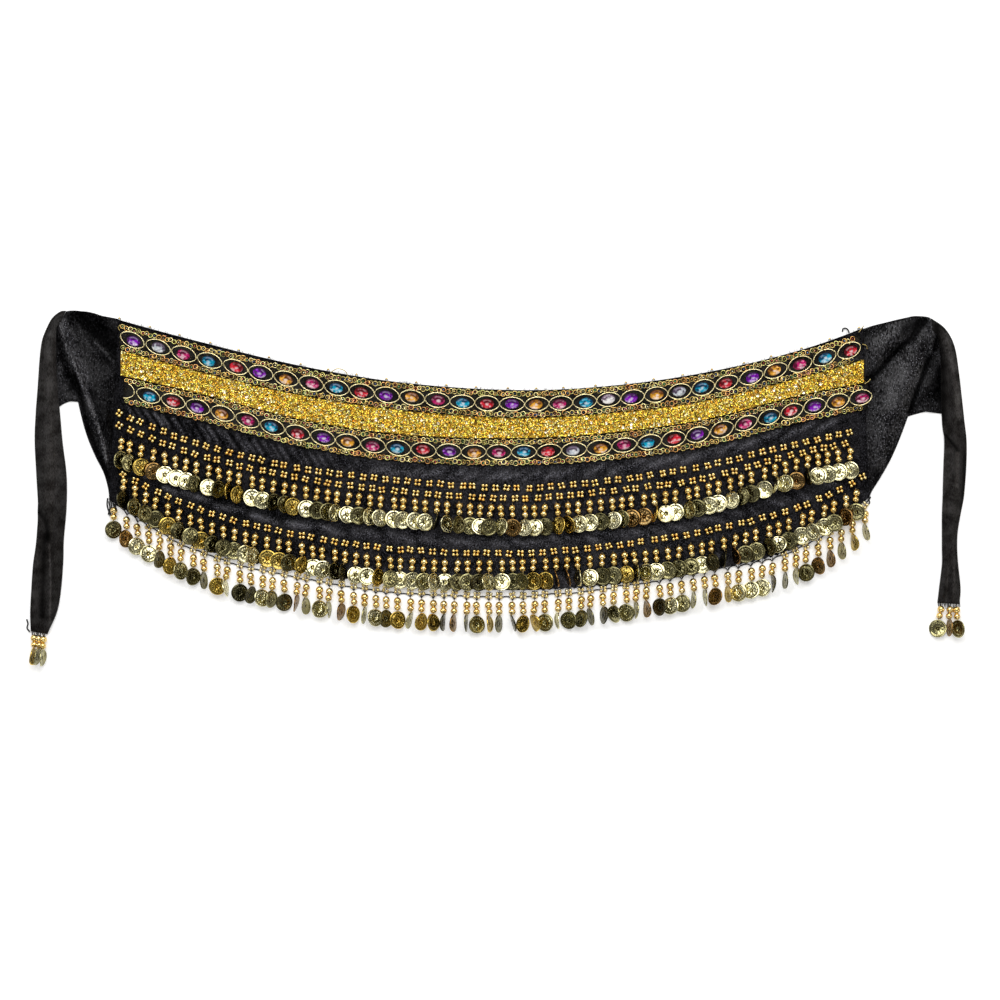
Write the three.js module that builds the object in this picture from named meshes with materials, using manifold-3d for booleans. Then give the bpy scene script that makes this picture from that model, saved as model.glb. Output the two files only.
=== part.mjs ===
// A belly dance belt (coin hip scarf) laid out flat: a crescent of black velvet trimmed with two jewelled
// ribbons, a sequin band and three rows of coin drops, with a wing and a long tie of satin at each end.
// Millimetres, +Z up off the surface it lies on. X runs along the belt and +Y points to the waist edge.
import * as THREE from 'three';
import { mergeVertices } from 'three/addons/utils/BufferGeometryUtils.js';
import Module from 'manifold-3d';

const wasm = await Module();
wasm.setup();

// ---- Driving sizes ----
const SEAM = 0.3; // gap between pieces that are sewn together
const PANEL_THICK = 2; // velvet on its lining
const WING_THICK = 1.6;
const WEB_THICK = 1.2;
const TIE_THICK = 2.2; // satin folded double
const RIBBON_THICK = 1.2;
const RIBBON_WIDTH = 24.5;
const RIBBON_STEPS = 30;
const UPPER_RIBBON = { line: 'upperLow', start: -341.5, end: 324, gems: 'upper' };
const LOWER_RIBBON = { line: 'lowerLow', start: -338, end: 331, gems: 'lower' };
const BAND_START = -340.5; // sequin band
const BAND_END = 327.5;
const BAND_THICK = 1;

const GEM_COUNT = 30; // on each jewelled ribbon
const GEM_LENGTH = 11.6;
const GEM_WIDTH = 8.5;
const GEM_RISE = 2.4;
const GEM_SUNK = 0.3; // into the ribbon
const GEM_CORNERS = 6;
const GEM_TABLE = 0.55; // share of the gem's outline that its flat top keeps

const COIN_RADIUS = 8;
const COIN_THICK = 1;
const SEWN_COIN_CORNERS = 6; // on the panel
const FREE_COIN_CORNERS = 8; // past its edges
const HOLE_RADIUS = 6.2; // from the coin's centre to the hole that it hangs by
const BEAD_STEP = 6.3; // between the centres of a drop's two beads
const ROOT_RISE = 3.9; // from the upper bead up to the strip that carries it
const HOLE_DROP = 5.8; // from the lower bead down to the coin's hole
const BEAD_HALF = 1.8; // half the width of the four-sided stalk that carries the two beads
const BEAD_HEIGHT = 2.9; // of the beads' middle above what the drop lies on
const BEAD_SHARE = 0.42; // of the way from the root to the coin's centre
const ROOT_HALF = 0.2;
const ROOT_HEIGHT = 0.65;
const STRIP_WIDTH = 2;
const STRIP_THICK = 1.4;
const STRIP_STEPS = 24;
const NET_RUNG = 5; // width of the bead cluster between two gaps of the hem net
const NET_RAIL = 1.4;
const NET_SEAM = 0.6; // measured along Y, where the hem is at its steepest
const NET_GAP_LEAST = 4; // smaller gaps aren't cut
const LIFT_STEP = 0.2;
const SLIDES = [0, 0.5, 1, 1.5, 2]; // how far outwards a coin may slide before it is lifted

// ---- Lines of the panel: height Y of each line at nine stations along X ----
const LINES = [
  { x: -341.5, waist: 156, upperLow: 129, lowerLow: 81.5, bead1: 48, bead2: 14, hem: -12, thread: -15 },
  { x: -269.5, waist: 136.5, upperLow: 109.5, lowerLow: 65, bead1: 25.5, bead2: -24, hem: -49, thread: -56 },
  { x: -179.5, waist: 115, upperLow: 88.5, lowerLow: 42, bead1: 5, bead2: -46.5, hem: -70, thread: -79 },
  { x: -89.5, waist: 100, upperLow: 75, lowerLow: 28.5, bead1: -6, bead2: -60, hem: -81.5, thread: -92.5 },
  { x: 18.5, waist: 93, upperLow: 68, lowerLow: 25, bead1: -13, bead2: -61.5, hem: -87, thread: -96 },
  { x: 90.5, waist: 96, upperLow: 71.5, lowerLow: 29, bead1: -7.5, bead2: -57, hem: -83, thread: -89 },
  { x: 180.5, waist: 108, upperLow: 82.5, lowerLow: 41, bead1: 5, bead2: -46.5, hem: -70.5, thread: -74 },
  { x: 270.5, waist: 129, upperLow: 104, lowerLow: 63.5, bead1: 30, bead2: -21, hem: -47, thread: -52 },
  { x: 324.5, waist: 148, upperLow: 119.5, lowerLow: 74, bead1: 40, bead2: 3, hem: -10.5, thread: -17.5 },
];

// X of some gems on each ribbon. Those between them are evenly spaced.
const GEM_STATIONS = [
  { gem: 0, upper: -329.9, lower: -315.5 },
  { gem: 4, upper: -237.2, lower: -226.5 },
  { gem: 8, upper: -146.3, lower: -136.1 },
  { gem: 12, upper: -55.8, lower: -45.7 },
  { gem: 16, upper: 33.6, lower: 44.5 },
  { gem: 20, upper: 119.6, lower: 134.7 },
  { gem: 24, upper: 204.1, lower: 221.6 },
  { gem: 29, upper: 314.1, lower: 324.5 },
];

// ---- Cloth at the two ends: each row is a section from its outer or upper edge to its inner or lower one ----
const LEFT_WING = [
  { ax: -343, ay: 157, bx: -351, by: -8.5 },
  { ax: -350.5, ay: 158.5, bx: -351.8, by: 3 },
  { ax: -358, ay: 160, bx: -356, by: 18.5 },
  { ax: -364, ay: 162, bx: -364, by: 34.5 },
  { ax: -370.5, ay: 163.5, bx: -372, by: 54.5 },
  { ax: -376, ay: 164, bx: -378.5, by: 79.5 },
  { ax: -381, ay: 164.5, bx: -383.5, by: 106.5 },
  { ax: -385.5, ay: 164.5, bx: -389, by: 133.5 },
  { ax: -389.5, ay: 164, bx: -394, by: 154.5 },
];
const LEFT_WEB = [
  { ax: -395.8, ay: 152.2, bx: -393.9, by: 152.2 },
  { ax: -397.8, ay: 147, bx: -392.7, by: 147 },
  { ax: -398.1, ay: 129, bx: -388.6, by: 129 },
  { ax: -397, ay: 102, bx: -383.5, by: 104 },
  { ax: -395.2, ay: 77, bx: -379.5, by: 82 },
];
const LEFT_TIE = [
  { ax: -390, ay: 164.3, bx: -394.5, by: 154.7 },
  { ax: -395, ay: 163.6, bx: -395.8, by: 153 },
  { ax: -402, ay: 158, bx: -398, by: 149 },
  { ax: -407, ay: 149, bx: -398.5, by: 140 },
  { ax: -411, ay: 138, bx: -398.6, by: 127.5 },
  { ax: -413.5, ay: 120, bx: -398.2, by: 109.5 },
  { ax: -415.5, ay: 93, bx: -396.4, by: 84 },
  { ax: -417, ay: 73.5, bx: -395, by: 68 },
  { ax: -418, ay: 48, bx: -393, by: 45.5 },
  { ax: -416.5, ay: 16.5, bx: -389.5, by: 16.5 },
  { ax: -415, ay: -13, bx: -389.5, by: -12 },
  { ax: -416.5, ay: -42, bx: -392, by: -42 },
  { ax: -419.5, ay: -64.5, bx: -392.5, by: -61.5 },
  { ax: -421, ay: -87, bx: -394.5, by: -87 },
  { ax: -422, ay: -106.5, bx: -398, by: -106.5 },
  { ax: -421.5, ay: -124, bx: -406.5, by: -126.5 },
];
const RIGHT_WING = [
  { ax: 327, ay: 148, bx: 332, by: -6 },
  { ax: 336, ay: 151, bx: 335, by: 2 },
  { ax: 346, ay: 153.5, bx: 342.5, by: 14 },
  { ax: 356, ay: 156, bx: 351.5, by: 30 },
  { ax: 365, ay: 158, bx: 359.5, by: 48 },
  { ax: 372, ay: 159.5, bx: 367, by: 68 },
  { ax: 378.5, ay: 159.5, bx: 376, by: 93 },
  { ax: 384, ay: 159, bx: 384, by: 118.5 },
  { ax: 387.5, ay: 158, bx: 389, by: 142.5 },
];
const RIGHT_WEB = [
  { ax: 389.4, ay: 143, bx: 392.2, by: 143 },
  { ax: 388.8, ay: 139, bx: 393.3, by: 139 },
  { ax: 384, ay: 116.5, bx: 396.1, by: 122 },
  { ax: 376.2, ay: 91.5, bx: 396.6, by: 93 },
  { ax: 367.8, ay: 68.5, bx: 397.1, by: 71.5 },
];
const RIGHT_TIE = [
  { ax: 388.4, ay: 157.4, bx: 389.3, by: 147 },
  { ax: 399, ay: 150, bx: 393.6, by: 142 },
  { ax: 405.5, ay: 141, bx: 395.2, by: 133.5 },
  { ax: 410, ay: 129, bx: 396.7, by: 122 },
  { ax: 413, ay: 109.5, bx: 397, by: 106 },
  { ax: 415.5, ay: 88.5, bx: 397.2, by: 86 },
  { ax: 418, ay: 66, bx: 398.2, by: 62.5 },
  { ax: 420, ay: 48, bx: 400, by: 46.5 },
  { ax: 420, ay: 30, bx: 399.5, by: 29 },
  { ax: 419, ay: 12, bx: 399, by: 12 },
  { ax: 417.5, ay: -4, bx: 398.5, by: -4 },
  { ax: 414.5, ay: -19.5, bx: 398, by: -19.5 },
  { ax: 412, ay: -34.5, bx: 398, by: -34.5 },
  { ax: 411.5, ay: -49, bx: 398, by: -49 },
  { ax: 412.5, ay: -65, bx: 398, by: -63.5 },
  { ax: 414.5, ay: -85, bx: 395.5, by: -85 },
  { ax: 413.5, ay: -99.5, bx: 394, by: -98.5 },
];

// ---- Soft ridges of the wings: a straight crest from a to b, so high and so wide ----
const WING_RIDGES = [
  { ax: -393, ay: 152, bx: -374, by: 102, height: 5, width: 8 },
  { ax: -374, ay: 102, bx: -354, by: 44, height: 6, width: 8 },
  { ax: -369, ay: 128, bx: -357, by: 78, height: 3.5, width: 6 },
  { ax: 385, ay: 148, bx: 378, by: 108, height: 5, width: 8 },
  { ax: 374, ay: 132, bx: 345, by: 62, height: 5, width: 10 },
  { ax: 365, ay: 150, bx: 340, by: 120, height: 4, width: 9 },
];

// ---- Coin drops ----
// How far each coin is turned about the line that it hangs on, in degrees, and each row's coins in order:
// S shingled flat, F nearly face-on, T and H turned, N narrow, E on edge.
const TURNS = { S: 14, F: 28, T: 46, H: 60, N: 70, E: 80 };
const COIN_ROWS = {
  coin_row_1: {
    line: 'bead1',
    seed: 11,
    base: PANEL_THICK,
    start: -340.5,
    end: 315,
    turns: 'TTFSSSSTSTETSSTTFSSFTSSTFSSSSETTSSSTSFSSTTSSSFTSSESSTSSSFTSSEFSESSSS',
  },
  coin_row_2: {
    line: 'bead2',
    seed: 21,
    base: PANEL_THICK,
    start: -338,
    end: 321,
    turns: 'HTTSSTFSTFSSTSSFTSSTNSSTFSSSTSFSSTSSTSFEENSSSFNTSSFSSTENSSTFSSTSFTS',
  },
  coin_row_3: {
    line: 'thread',
    seed: 31,
    base: 0,
    start: -346.5,
    end: 327.5,
    turns: 'FTFSHTTTNFEFHFHFENFENTEFTFNTTENEFNNETHFEFTNNTFENTFFEETNFFFEEEFTNNNE',
  },
};
const DROP_JITTER = 1.1; // how far a drop strays along its row
const TURN_JITTER = 4; // degrees
const LEAN_JITTER = 7; // degrees
const TIE_BAR_WIDTH = 1.6;
const LEFT_TIE_BAR = 10.4;
const RIGHT_TIE_BAR = 16;
const TIE_STRANDS = {
  left_tie_end: [
    { x: -418.3, y: -125.8, drift: 0, turn: 76 },
    { x: -414.3, y: -126.4, drift: 0.4, turn: 79 },
    { x: -410.3, y: -127.1, drift: 0, turn: 80 },
  ],
  right_tie_end: [
    { x: 397.5, y: -99.9, drift: -3.5, turn: 16 },
    { x: 404.5, y: -100.2, drift: -0.5, turn: 80 },
    { x: 410.8, y: -100.6, drift: 1, turn: 50 },
  ],
};

// ---- Small helpers ----
const radians = THREE.MathUtils.degToRad;
const lerp = THREE.MathUtils.lerp;
const point = (x, y, z) => new THREE.Vector3(x, y, z);

// A repeatable scatter from 0 to 1.
function scatter(index, seed) {
  const wave = Math.sin(index * 12.9898 + seed * 78.233) * 43758.5453;
  return wave - Math.floor(wave);
}

// Height of a named line at x: a cubic through the stations.
function lineAt(name, x) {
  const last = LINES.length - 1;
  const slope = (k) => (LINES[k + 1][name] - LINES[k][name]) / (LINES[k + 1].x - LINES[k].x);
  const tangent = (k) => {
    if (k === 0) return 1.5 * slope(0) - 0.5 * slope(1);
    if (k === last) return 1.5 * slope(last - 1) - 0.5 * slope(last - 2);
    return (slope(k - 1) + slope(k)) / 2;
  };
  let k = 0;
  while (k < last - 1 && x > LINES[k + 1].x) k += 1;
  const from = LINES[k];
  const to = LINES[k + 1];
  if (x < from.x) return from[name] + tangent(0) * (x - from.x);
  if (x > to.x) return to[name] + tangent(last) * (x - to.x);
  const span = to.x - from.x;
  const t = (x - from.x) / span;
  const ease = t * t * (3 - 2 * t);
  const leave = t * (1 - t) * (1 - t) * span * tangent(k);
  const arrive = t * t * (t - 1) * span * tangent(k + 1);
  return lerp(from[name], to[name], ease) + leave + arrive;
}

// Where the panel's side seams cross the height y: the wings' first sections, less the gap of the seam.
const seamX = (y, { ax, ay, bx, by }, gap) => lerp(bx, ax, (y - by) / (ay - by)) + gap;
const leftSeamX = (y) => seamX(y, LEFT_WING[0], SEAM);
const rightSeamX = (y) => seamX(y, RIGHT_WING[0], -SEAM);

const middleX = ({ ax, bx }) => (ax + bx) / 2;

// Distance of (x, y) from a straight crest.
function distanceToCrest(x, y, crest) {
  const along = point(crest.bx - crest.ax, crest.by - crest.ay, 0);
  const offset = point(x - crest.ax, y - crest.ay, 0);
  const share = THREE.MathUtils.clamp(offset.dot(along) / along.lengthSq(), 0, 1);
  return offset.addScaledVector(along, -share).length();
}

// A closed skin over a row of closed loops, all with the same number of points.
function loft(loops, cap = capFaces) {
  const count = loops[0].length;
  const index = [];
  for (let i = 0; i < loops.length - 1; i++) {
    for (let j = 0; j < count; j++) {
      const a = i * count + j;
      const b = i * count + ((j + 1) % count);
      index.push(a, b, b + count, a, b + count, a + count);
    }
  }
  const lastStart = (loops.length - 1) * count;
  index.push(...cap(loops[0], 0, true), ...cap(loops[loops.length - 1], lastStart, false));
  const geometry = new THREE.BufferGeometry().setFromPoints(loops.flat());
  geometry.setIndex(index);
  return faceOutwards(geometry);
}

// Triangles that close a loop, seen in the plane of its length and its height.
function capFaces(loop, start, reversed) {
  const flat = loop.map((p) => new THREE.Vector2(Math.hypot(p.x - loop[0].x, p.y - loop[0].y), p.z));
  const turn = Math.sign(THREE.ShapeUtils.area(flat)) * (reversed ? -1 : 1);
  return THREE.ShapeUtils.triangulateShape(flat, []).flatMap((face) => {
    const facing = Math.sign(THREE.ShapeUtils.area(face.map((k) => flat[k])));
    const [a, b, c] = face.map((k) => start + k);
    return facing === turn ? [a, b, c] : [a, c, b];
  });
}

// A strand's ends are plain four-sided faces.
const fourSidedCap = (loop, start, reversed) =>
  (reversed ? [2, 1, 0, 3, 2, 0] : [0, 1, 2, 0, 2, 3]).map((k) => start + k);
const loftStrand = (loops) => loft(loops, fourSidedCap);

function faceOutwards(geometry) {
  const index = geometry.index.array;
  const position = geometry.attributes.position;
  const corner = (k) => new THREE.Vector3().fromBufferAttribute(position, index[k]);
  let volume = 0;
  for (let k = 0; k < index.length; k += 3) volume += corner(k).dot(corner(k + 1).cross(corner(k + 2)));
  if (volume < 0) geometry.setIndex([...index].reverse());
  return geometry;
}

// A cloth wall from rows of top points over rows of underside points.
const wall = (tops, undersides) => loft(tops.map((row, i) => [...row, ...[...undersides[i]].reverse()]));

// A flat strip between two lines over a stretch of X, lying at the height z.
function strip(name, start, end, rise, width, z, thick, steps) {
  const tops = [];
  const undersides = [];
  for (let i = 0; i <= steps; i++) {
    const x = lerp(start, end, i / steps);
    const y = lineAt(name, x) + rise;
    tops.push([point(x, y + width, z + thick), point(x, y, z + thick)]);
    undersides.push([point(x, y + width, z), point(x, y, z)]);
  }
  return wall(tops, undersides);
}

// ---- Joining ----
function solid(geometry) {
  const bare = geometry.clone();
  bare.deleteAttribute('normal');
  bare.deleteAttribute('uv');
  const merged = mergeVertices(bare, 1e-4);
  const vertProperties = new Float32Array(merged.attributes.position.array);
  const triVerts = new Uint32Array(merged.index.array);
  return new wasm.Manifold(new wasm.Mesh({ numProp: 3, vertProperties, triVerts }));
}

function fuse(geometries) {
  const joined = geometries.map(solid).reduce((whole, next) => whole.add(next));
  const mesh = joined.getMesh();
  const geometry = new THREE.BufferGeometry();
  geometry.setAttribute('position', new THREE.BufferAttribute(new Float32Array(mesh.vertProperties), 3));
  geometry.setIndex([...mesh.triVerts]);
  return geometry;
}

// ---- The panel ----
const PANEL_COLUMNS = 54;
const PUCKER_HEIGHT = 1.1;
const PUCKER_VARIES = 0.6;
const PUCKER_SEED = 3;
const ROW_PITCH = 48; // between the two sewn coin rows over most of the panel
const ROW_PITCH_LOW = 38; // where the puckers have gone
// Each row of the panel's face: a line, how far below it, and its share of the pucker's height on even columns
// and on odd ones. The puckers slant from one row to the next, and fade out where the coin rows draw together.
const PANEL_ROWS = [
  { line: 'waist', drop: 0, even: 0, odd: 0 },
  { line: 'lowerLow', drop: 0.5, even: 0, odd: 0 },
  { line: 'lowerLow', drop: 4, even: 1, odd: 0 },
  { line: 'lowerLow', drop: 8.5, even: 0, odd: 1 },
  { line: 'bead1', drop: -20, even: 0, odd: 0 },
  { line: 'bead2', drop: -20, even: 0, odd: 0 },
  { line: 'bead2', drop: -16, even: 0.7, odd: 0 },
  { line: 'bead2', drop: -12, even: 0, odd: 0 },
  { line: 'hem', drop: 0, even: 0, odd: 0 },
];

function panelGeometry() {
  const tops = [];
  const undersides = [];
  for (let i = 0; i <= PANEL_COLUMNS; i++) {
    const roughX = lerp(middleX(LEFT_WING[0]), middleX(RIGHT_WING[0]), i / PANEL_COLUMNS);
    const between = lineAt('bead1', roughX) - lineAt('bead2', roughX);
    const room = THREE.MathUtils.smoothstep(between, ROW_PITCH_LOW, ROW_PITCH);
    const strength = PUCKER_HEIGHT * room * (1 - PUCKER_VARIES * scatter(i, PUCKER_SEED));
    const top = PANEL_ROWS.map((row) => {
      const roughY = lineAt(row.line, roughX) - row.drop;
      const x = lerp(leftSeamX(roughY), rightSeamX(roughY), i / PANEL_COLUMNS);
      const lift = strength * (i % 2 === 0 ? row.even : row.odd);
      return point(x, lineAt(row.line, x) - row.drop, PANEL_THICK + lift);
    });
    tops.push(top);
    undersides.push([point(top[0].x, top[0].y, 0), point(top[top.length - 1].x, top[top.length - 1].y, 0)]);
  }
  return wall(tops, undersides);
}

// ---- Ribbons and the sequin band ----

function gemGeometry(x, y, slope, z) {
  const gem = new THREE.CylinderGeometry(GEM_TABLE, 1, GEM_RISE, GEM_CORNERS);
  gem.rotateX(Math.PI / 2);
  gem.rotateZ(Math.PI / 2);
  gem.scale(GEM_LENGTH / 2, GEM_WIDTH / 2, 1);
  gem.rotateZ(Math.atan(slope));
  return gem.translate(x, y, z + GEM_RISE / 2 - GEM_SUNK);
}

function gemX(column, gem) {
  const after = GEM_STATIONS.findIndex((station, k) => k > 0 && gem <= station.gem);
  const [from, to] = [GEM_STATIONS[after - 1], GEM_STATIONS[after]];
  return lerp(from[column], to[column], (gem - from.gem) / (to.gem - from.gem));
}

function jewelledRibbon({ line, start, end, gems: column }) {
  const z = PANEL_THICK + SEAM;
  const ribbon = strip(line, start, end, SEAM, RIBBON_WIDTH - SEAM, z, RIBBON_THICK, RIBBON_STEPS);
  const gems = [];
  for (let k = 0; k < GEM_COUNT; k++) {
    const x = gemX(column, k);
    const y = lineAt(line, x) + RIBBON_WIDTH / 2;
    const slope = (lineAt(line, x + 1) - lineAt(line, x - 1)) / 2;
    gems.push(gemGeometry(x, y, slope, z + RIBBON_THICK));
  }
  return fuse([ribbon, ...gems]);
}

function sequinBand() {
  const tops = [];
  const undersides = [];
  const z = PANEL_THICK + SEAM;
  for (let i = 0; i <= RIBBON_STEPS; i++) {
    const x = lerp(BAND_START, BAND_END, i / RIBBON_STEPS);
    const high = lineAt('upperLow', x) - SEAM / 2;
    const low = lineAt('lowerLow', x) + RIBBON_WIDTH + SEAM;
    tops.push([point(x, high, z + BAND_THICK), point(x, low, z + BAND_THICK)]);
    undersides.push([point(x, high, z), point(x, low, z)]);
  }
  return wall(tops, undersides);
}

// ---- Wings, webs and ties ----
// A wall over a table of sections. lift(x, y, along, across) raises the cloth off the surface, never below it.
function clothGeometry(sections, points, thick, lift) {
  const tops = [];
  const undersides = [];
  sections.forEach((section, i) => {
    const top = [];
    const underside = [];
    for (let j = 0; j < points; j++) {
      const across = j / (points - 1);
      const x = lerp(section.ax, section.bx, across);
      const y = lerp(section.ay, section.by, across);
      const height = Math.max(0, lift(x, y, i / (sections.length - 1), across));
      top.push(point(x, y, height + thick));
      underside.push(point(x, y, height));
    }
    tops.push(top);
    undersides.push(underside);
  });
  return wall(tops, undersides);
}

// Wing cloth: the highest soft ridge, flat against the surface at the seam and near the edges.
const RIDGE_FOOT = 0.4; // what is cut off the foot of a ridge, so that the cloth between ridges lies flat
const SEAM_EASE = 6; // ridges reach their height a sixth of the way from the seam
const EDGE_EASE = 8;
function wingLift(x, y, along, across) {
  const edgeEase = Math.min(1, along * SEAM_EASE, across * EDGE_EASE, (1 - across) * EDGE_EASE);
  const heights = WING_RIDGES.map((ridge) => {
    const share = distanceToCrest(x, y, ridge) / ridge.width;
    return ridge.height * Math.exp(-share * share);
  });
  return (Math.max(...heights) - RIDGE_FOOT) * edgeEase;
}

// Tie cloth: one soft lengthwise roll that wanders from side to side, and rises and falls.
const ROLL = { middle: 0.5, wander: 0.24, wanderTurns: 11, width: 0.26, height: 2.4, swell: 1.4, swellTurns: 17 };
const ROLL_FOOT = 0.3;
const ROLL_EASE = 5;
function tieLift(x, y, along, across) {
  const rollAt = ROLL.middle + ROLL.wander * Math.sin(along * ROLL.wanderTurns);
  const offset = (across - rollAt) / ROLL.width;
  const height = ROLL.height + ROLL.swell * Math.sin(along * ROLL.swellTurns + 1);
  return height * Math.exp(-offset * offset) * Math.min(1, along * ROLL_EASE) - ROLL_FOOT;
}

const lieFlat = () => 0;
const WING_POINTS = 11; // across a section
const WEB_POINTS = 3;
const TIE_POINTS = 6;

// ---- Coin drops ----
// A drop hangs from its root at (x, y). Its coin turns about the line that it hangs on, its outer side lifted.
function makeDrop(x, y, turn, lean, drift, base) {
  const side = x < 0 ? -1 : 1;
  const angle = radians(turn);
  const level = point(Math.cos(radians(lean)), Math.sin(radians(lean)), 0);
  const hang = HOLE_RADIUS * Math.cos(angle / 2); // a turned coin's hole sits low, to one side
  return {
    base,
    side,
    turn: angle,
    root: point(x, y, base + ROOT_HEIGHT),
    along: point(-level.y, level.x, 0),
    across: level.multiplyScalar(Math.cos(angle)).setZ(Math.sin(angle) * side),
    x: x + drift,
    y: y - ROOT_RISE - BEAD_STEP - HOLE_DROP - hang,
    z: base + SEAM + COIN_THICK / 2 + COIN_RADIUS * Math.sin(angle),
  };
}

// The two ends of a coin seen along the line that it hangs on, in X and Z.
function coinEnds(drop) {
  const dx = COIN_RADIUS * Math.cos(drop.turn);
  const dz = COIN_RADIUS * Math.sin(drop.turn) * drop.side;
  return [new THREE.Vector2(drop.x - dx, drop.z - dz), new THREE.Vector2(drop.x + dx, drop.z + dz)];
}

function distanceToSegment(p, [a, b]) {
  const along = b.clone().sub(a);
  const share = THREE.MathUtils.clamp(p.clone().sub(a).dot(along) / along.lengthSq(), 0, 1);
  return p.distanceTo(a.clone().addScaledVector(along, share));
}

function coinsMeet(one, other) {
  const [a, b] = coinEnds(one);
  const [c, d] = coinEnds(other);
  const side = (p, q, r) => Math.sign((q.x - p.x) * (r.y - p.y) - (q.y - p.y) * (r.x - p.x));
  if (side(a, b, c) !== side(a, b, d) && side(c, d, a) !== side(c, d, b)) return true;
  const gaps = [distanceToSegment(a, [c, d]), distanceToSegment(b, [c, d])];
  gaps.push(distanceToSegment(c, [a, b]), distanceToSegment(d, [a, b]));
  return Math.min(...gaps) < COIN_THICK + SEAM;
}

// From the middle outwards, each coin slides clear of those already there, or else leans on them.
function restCoins(drops) {
  const rested = [];
  for (const drop of [...drops].sort((one, other) => Math.abs(one.root.x) - Math.abs(other.root.x))) {
    const hangs = drop.x;
    const clear = (slide) => {
      drop.x = hangs + slide * drop.side;
      return !rested.some((other) => coinsMeet(drop, other));
    };
    while (!SLIDES.some(clear)) drop.z += LIFT_STEP;
    rested.push(drop);
  }
  return drops;
}

// A drop as one four-sided strand: its root, the beads' middle, then the coin's corners from the top down.
function dropGeometry(drop, corners) {
  const normal = drop.along.clone().cross(drop.across);
  const centre = point(drop.x, drop.y, drop.z);
  const loop = (middle, half, halfThick) =>
    [[-1, 1], [1, 1], [1, -1], [-1, -1]].map(([a, n]) =>
      middle.clone().addScaledVector(drop.across, a * half).addScaledVector(normal, n * halfThick));
  const beads = drop.root.clone().lerp(centre, BEAD_SHARE).setZ(drop.base + BEAD_HEIGHT);
  const loops = [loop(drop.root, ROOT_HALF, ROOT_HALF), loop(beads, BEAD_HALF, BEAD_HALF)];
  for (let k = 0; k < corners / 2; k++) {
    const angle = ((k + 0.5) * 2 * Math.PI) / corners;
    const middle = centre.clone().addScaledVector(drop.along, COIN_RADIUS * Math.cos(angle));
    loops.push(loop(middle, COIN_RADIUS * Math.sin(angle), COIN_THICK / 2));
  }
  return loftStrand(loops);
}

function rowDrops(row) {
  const last = row.turns.length - 1;
  const drops = [...row.turns].map((letter, i) => {
    const stray = DROP_JITTER * (2 * scatter(i, row.seed) - 1);
    const x = lerp(row.start, row.end, i / last) + stray;
    const rise = row.line === 'thread' ? 0 : ROOT_RISE;
    const turn = TURNS[letter] + TURN_JITTER * (2 * scatter(i, row.seed + 1) - 1);
    const lean = LEAN_JITTER * (2 * scatter(i, row.seed + 2) - 1);
    return makeDrop(x, lineAt(row.line, x) + rise, turn, lean, 0, row.base);
  });
  return restCoins(drops);
}

// A row sewn to the panel: its drops hang from a narrow strip of bead sewing.
function sewnRow(row) {
  const rise = ROOT_RISE - STRIP_WIDTH / 2;
  const z = row.base + SEAM;
  const [start, end] = [row.start - STRIP_WIDTH, row.end + STRIP_WIDTH];
  const backing = strip(row.line, start, end, rise, STRIP_WIDTH, z, STRIP_THICK, STRIP_STEPS);
  return fuse([backing, ...rowDrops(row).map((drop) => dropGeometry(drop, SEWN_COIN_CORNERS))]);
}

// The hem net: a ladder of bead clusters between the hem and a thread that carries the last row.
function hemNet(row) {
  const drops = rowDrops(row);
  const high = (x) => lineAt('hem', x) - NET_SEAM;
  const low = (x) => lineAt('thread', x) - NET_RAIL / 2;
  const roots = drops.map((drop) => drop.root.x);
  const edge = [roots[0] - NET_RUNG / 2, ...roots.slice(1, -1), roots[roots.length - 1] + NET_RUNG / 2];
  const outline = new THREE.Shape(edge.map((x) => new THREE.Vector2(x, low(x))));
  [...edge].reverse().forEach((x) => outline.lineTo(x, high(x)));
  for (let i = 0; i < drops.length - 1; i++) {
    const left = drops[i].root.x + NET_RUNG / 2;
    const right = drops[i + 1].root.x - NET_RUNG / 2;
    const corners = [left, right].map((x) => [high(x) - NET_RAIL, low(x) + NET_RAIL]);
    const tall = Math.min(...corners.map(([top, bottom]) => top - bottom));
    if (right - left < NET_GAP_LEAST || tall < NET_GAP_LEAST) continue;
    const gap = new THREE.Path();
    gap.moveTo(left, corners[0][0]).lineTo(left, corners[0][1]);
    gap.lineTo(right, corners[1][1]).lineTo(right, corners[1][0]).closePath();
    outline.holes.push(gap);
  }
  const net = new THREE.ExtrudeGeometry(outline, { depth: STRIP_THICK, bevelEnabled: false });
  net.translate(0, 0, SEAM);
  return fuse([net, ...drops.map((drop) => dropGeometry(drop, FREE_COIN_CORNERS))]);
}

// A tie's end: three drops on a short strip just below the cloth.
function tieEnd(strands, length) {
  const drops = restCoins(strands.map((s) => makeDrop(s.x, s.y, s.turn, 0, s.drift, 0)));
  const middle = strands[1];
  const slope = (strands[2].y - strands[0].y) / (strands[2].x - strands[0].x);
  const bar = new THREE.BoxGeometry(length, TIE_BAR_WIDTH, STRIP_THICK);
  bar.rotateZ(Math.atan(slope));
  bar.translate(middle.x, middle.y, SEAM + STRIP_THICK / 2);
  return fuse([bar, ...drops.map((drop) => dropGeometry(drop, FREE_COIN_CORNERS))]);
}

// ---- Assembly ----
const VELVET = { color: 0x17171a, roughness: 0.85, metalness: 0 };
const SATIN = { color: 0x2b2724, roughness: 0.45, metalness: 0 };
const RIBBON = { color: 0x8a6f2a, roughness: 0.45, metalness: 0.6 };
const SEQUIN = { color: 0xc89a1e, roughness: 0.35, metalness: 0.9 };
const GOLD = { color: 0xb9a668, roughness: 0.35, metalness: 0.9 };

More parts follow.
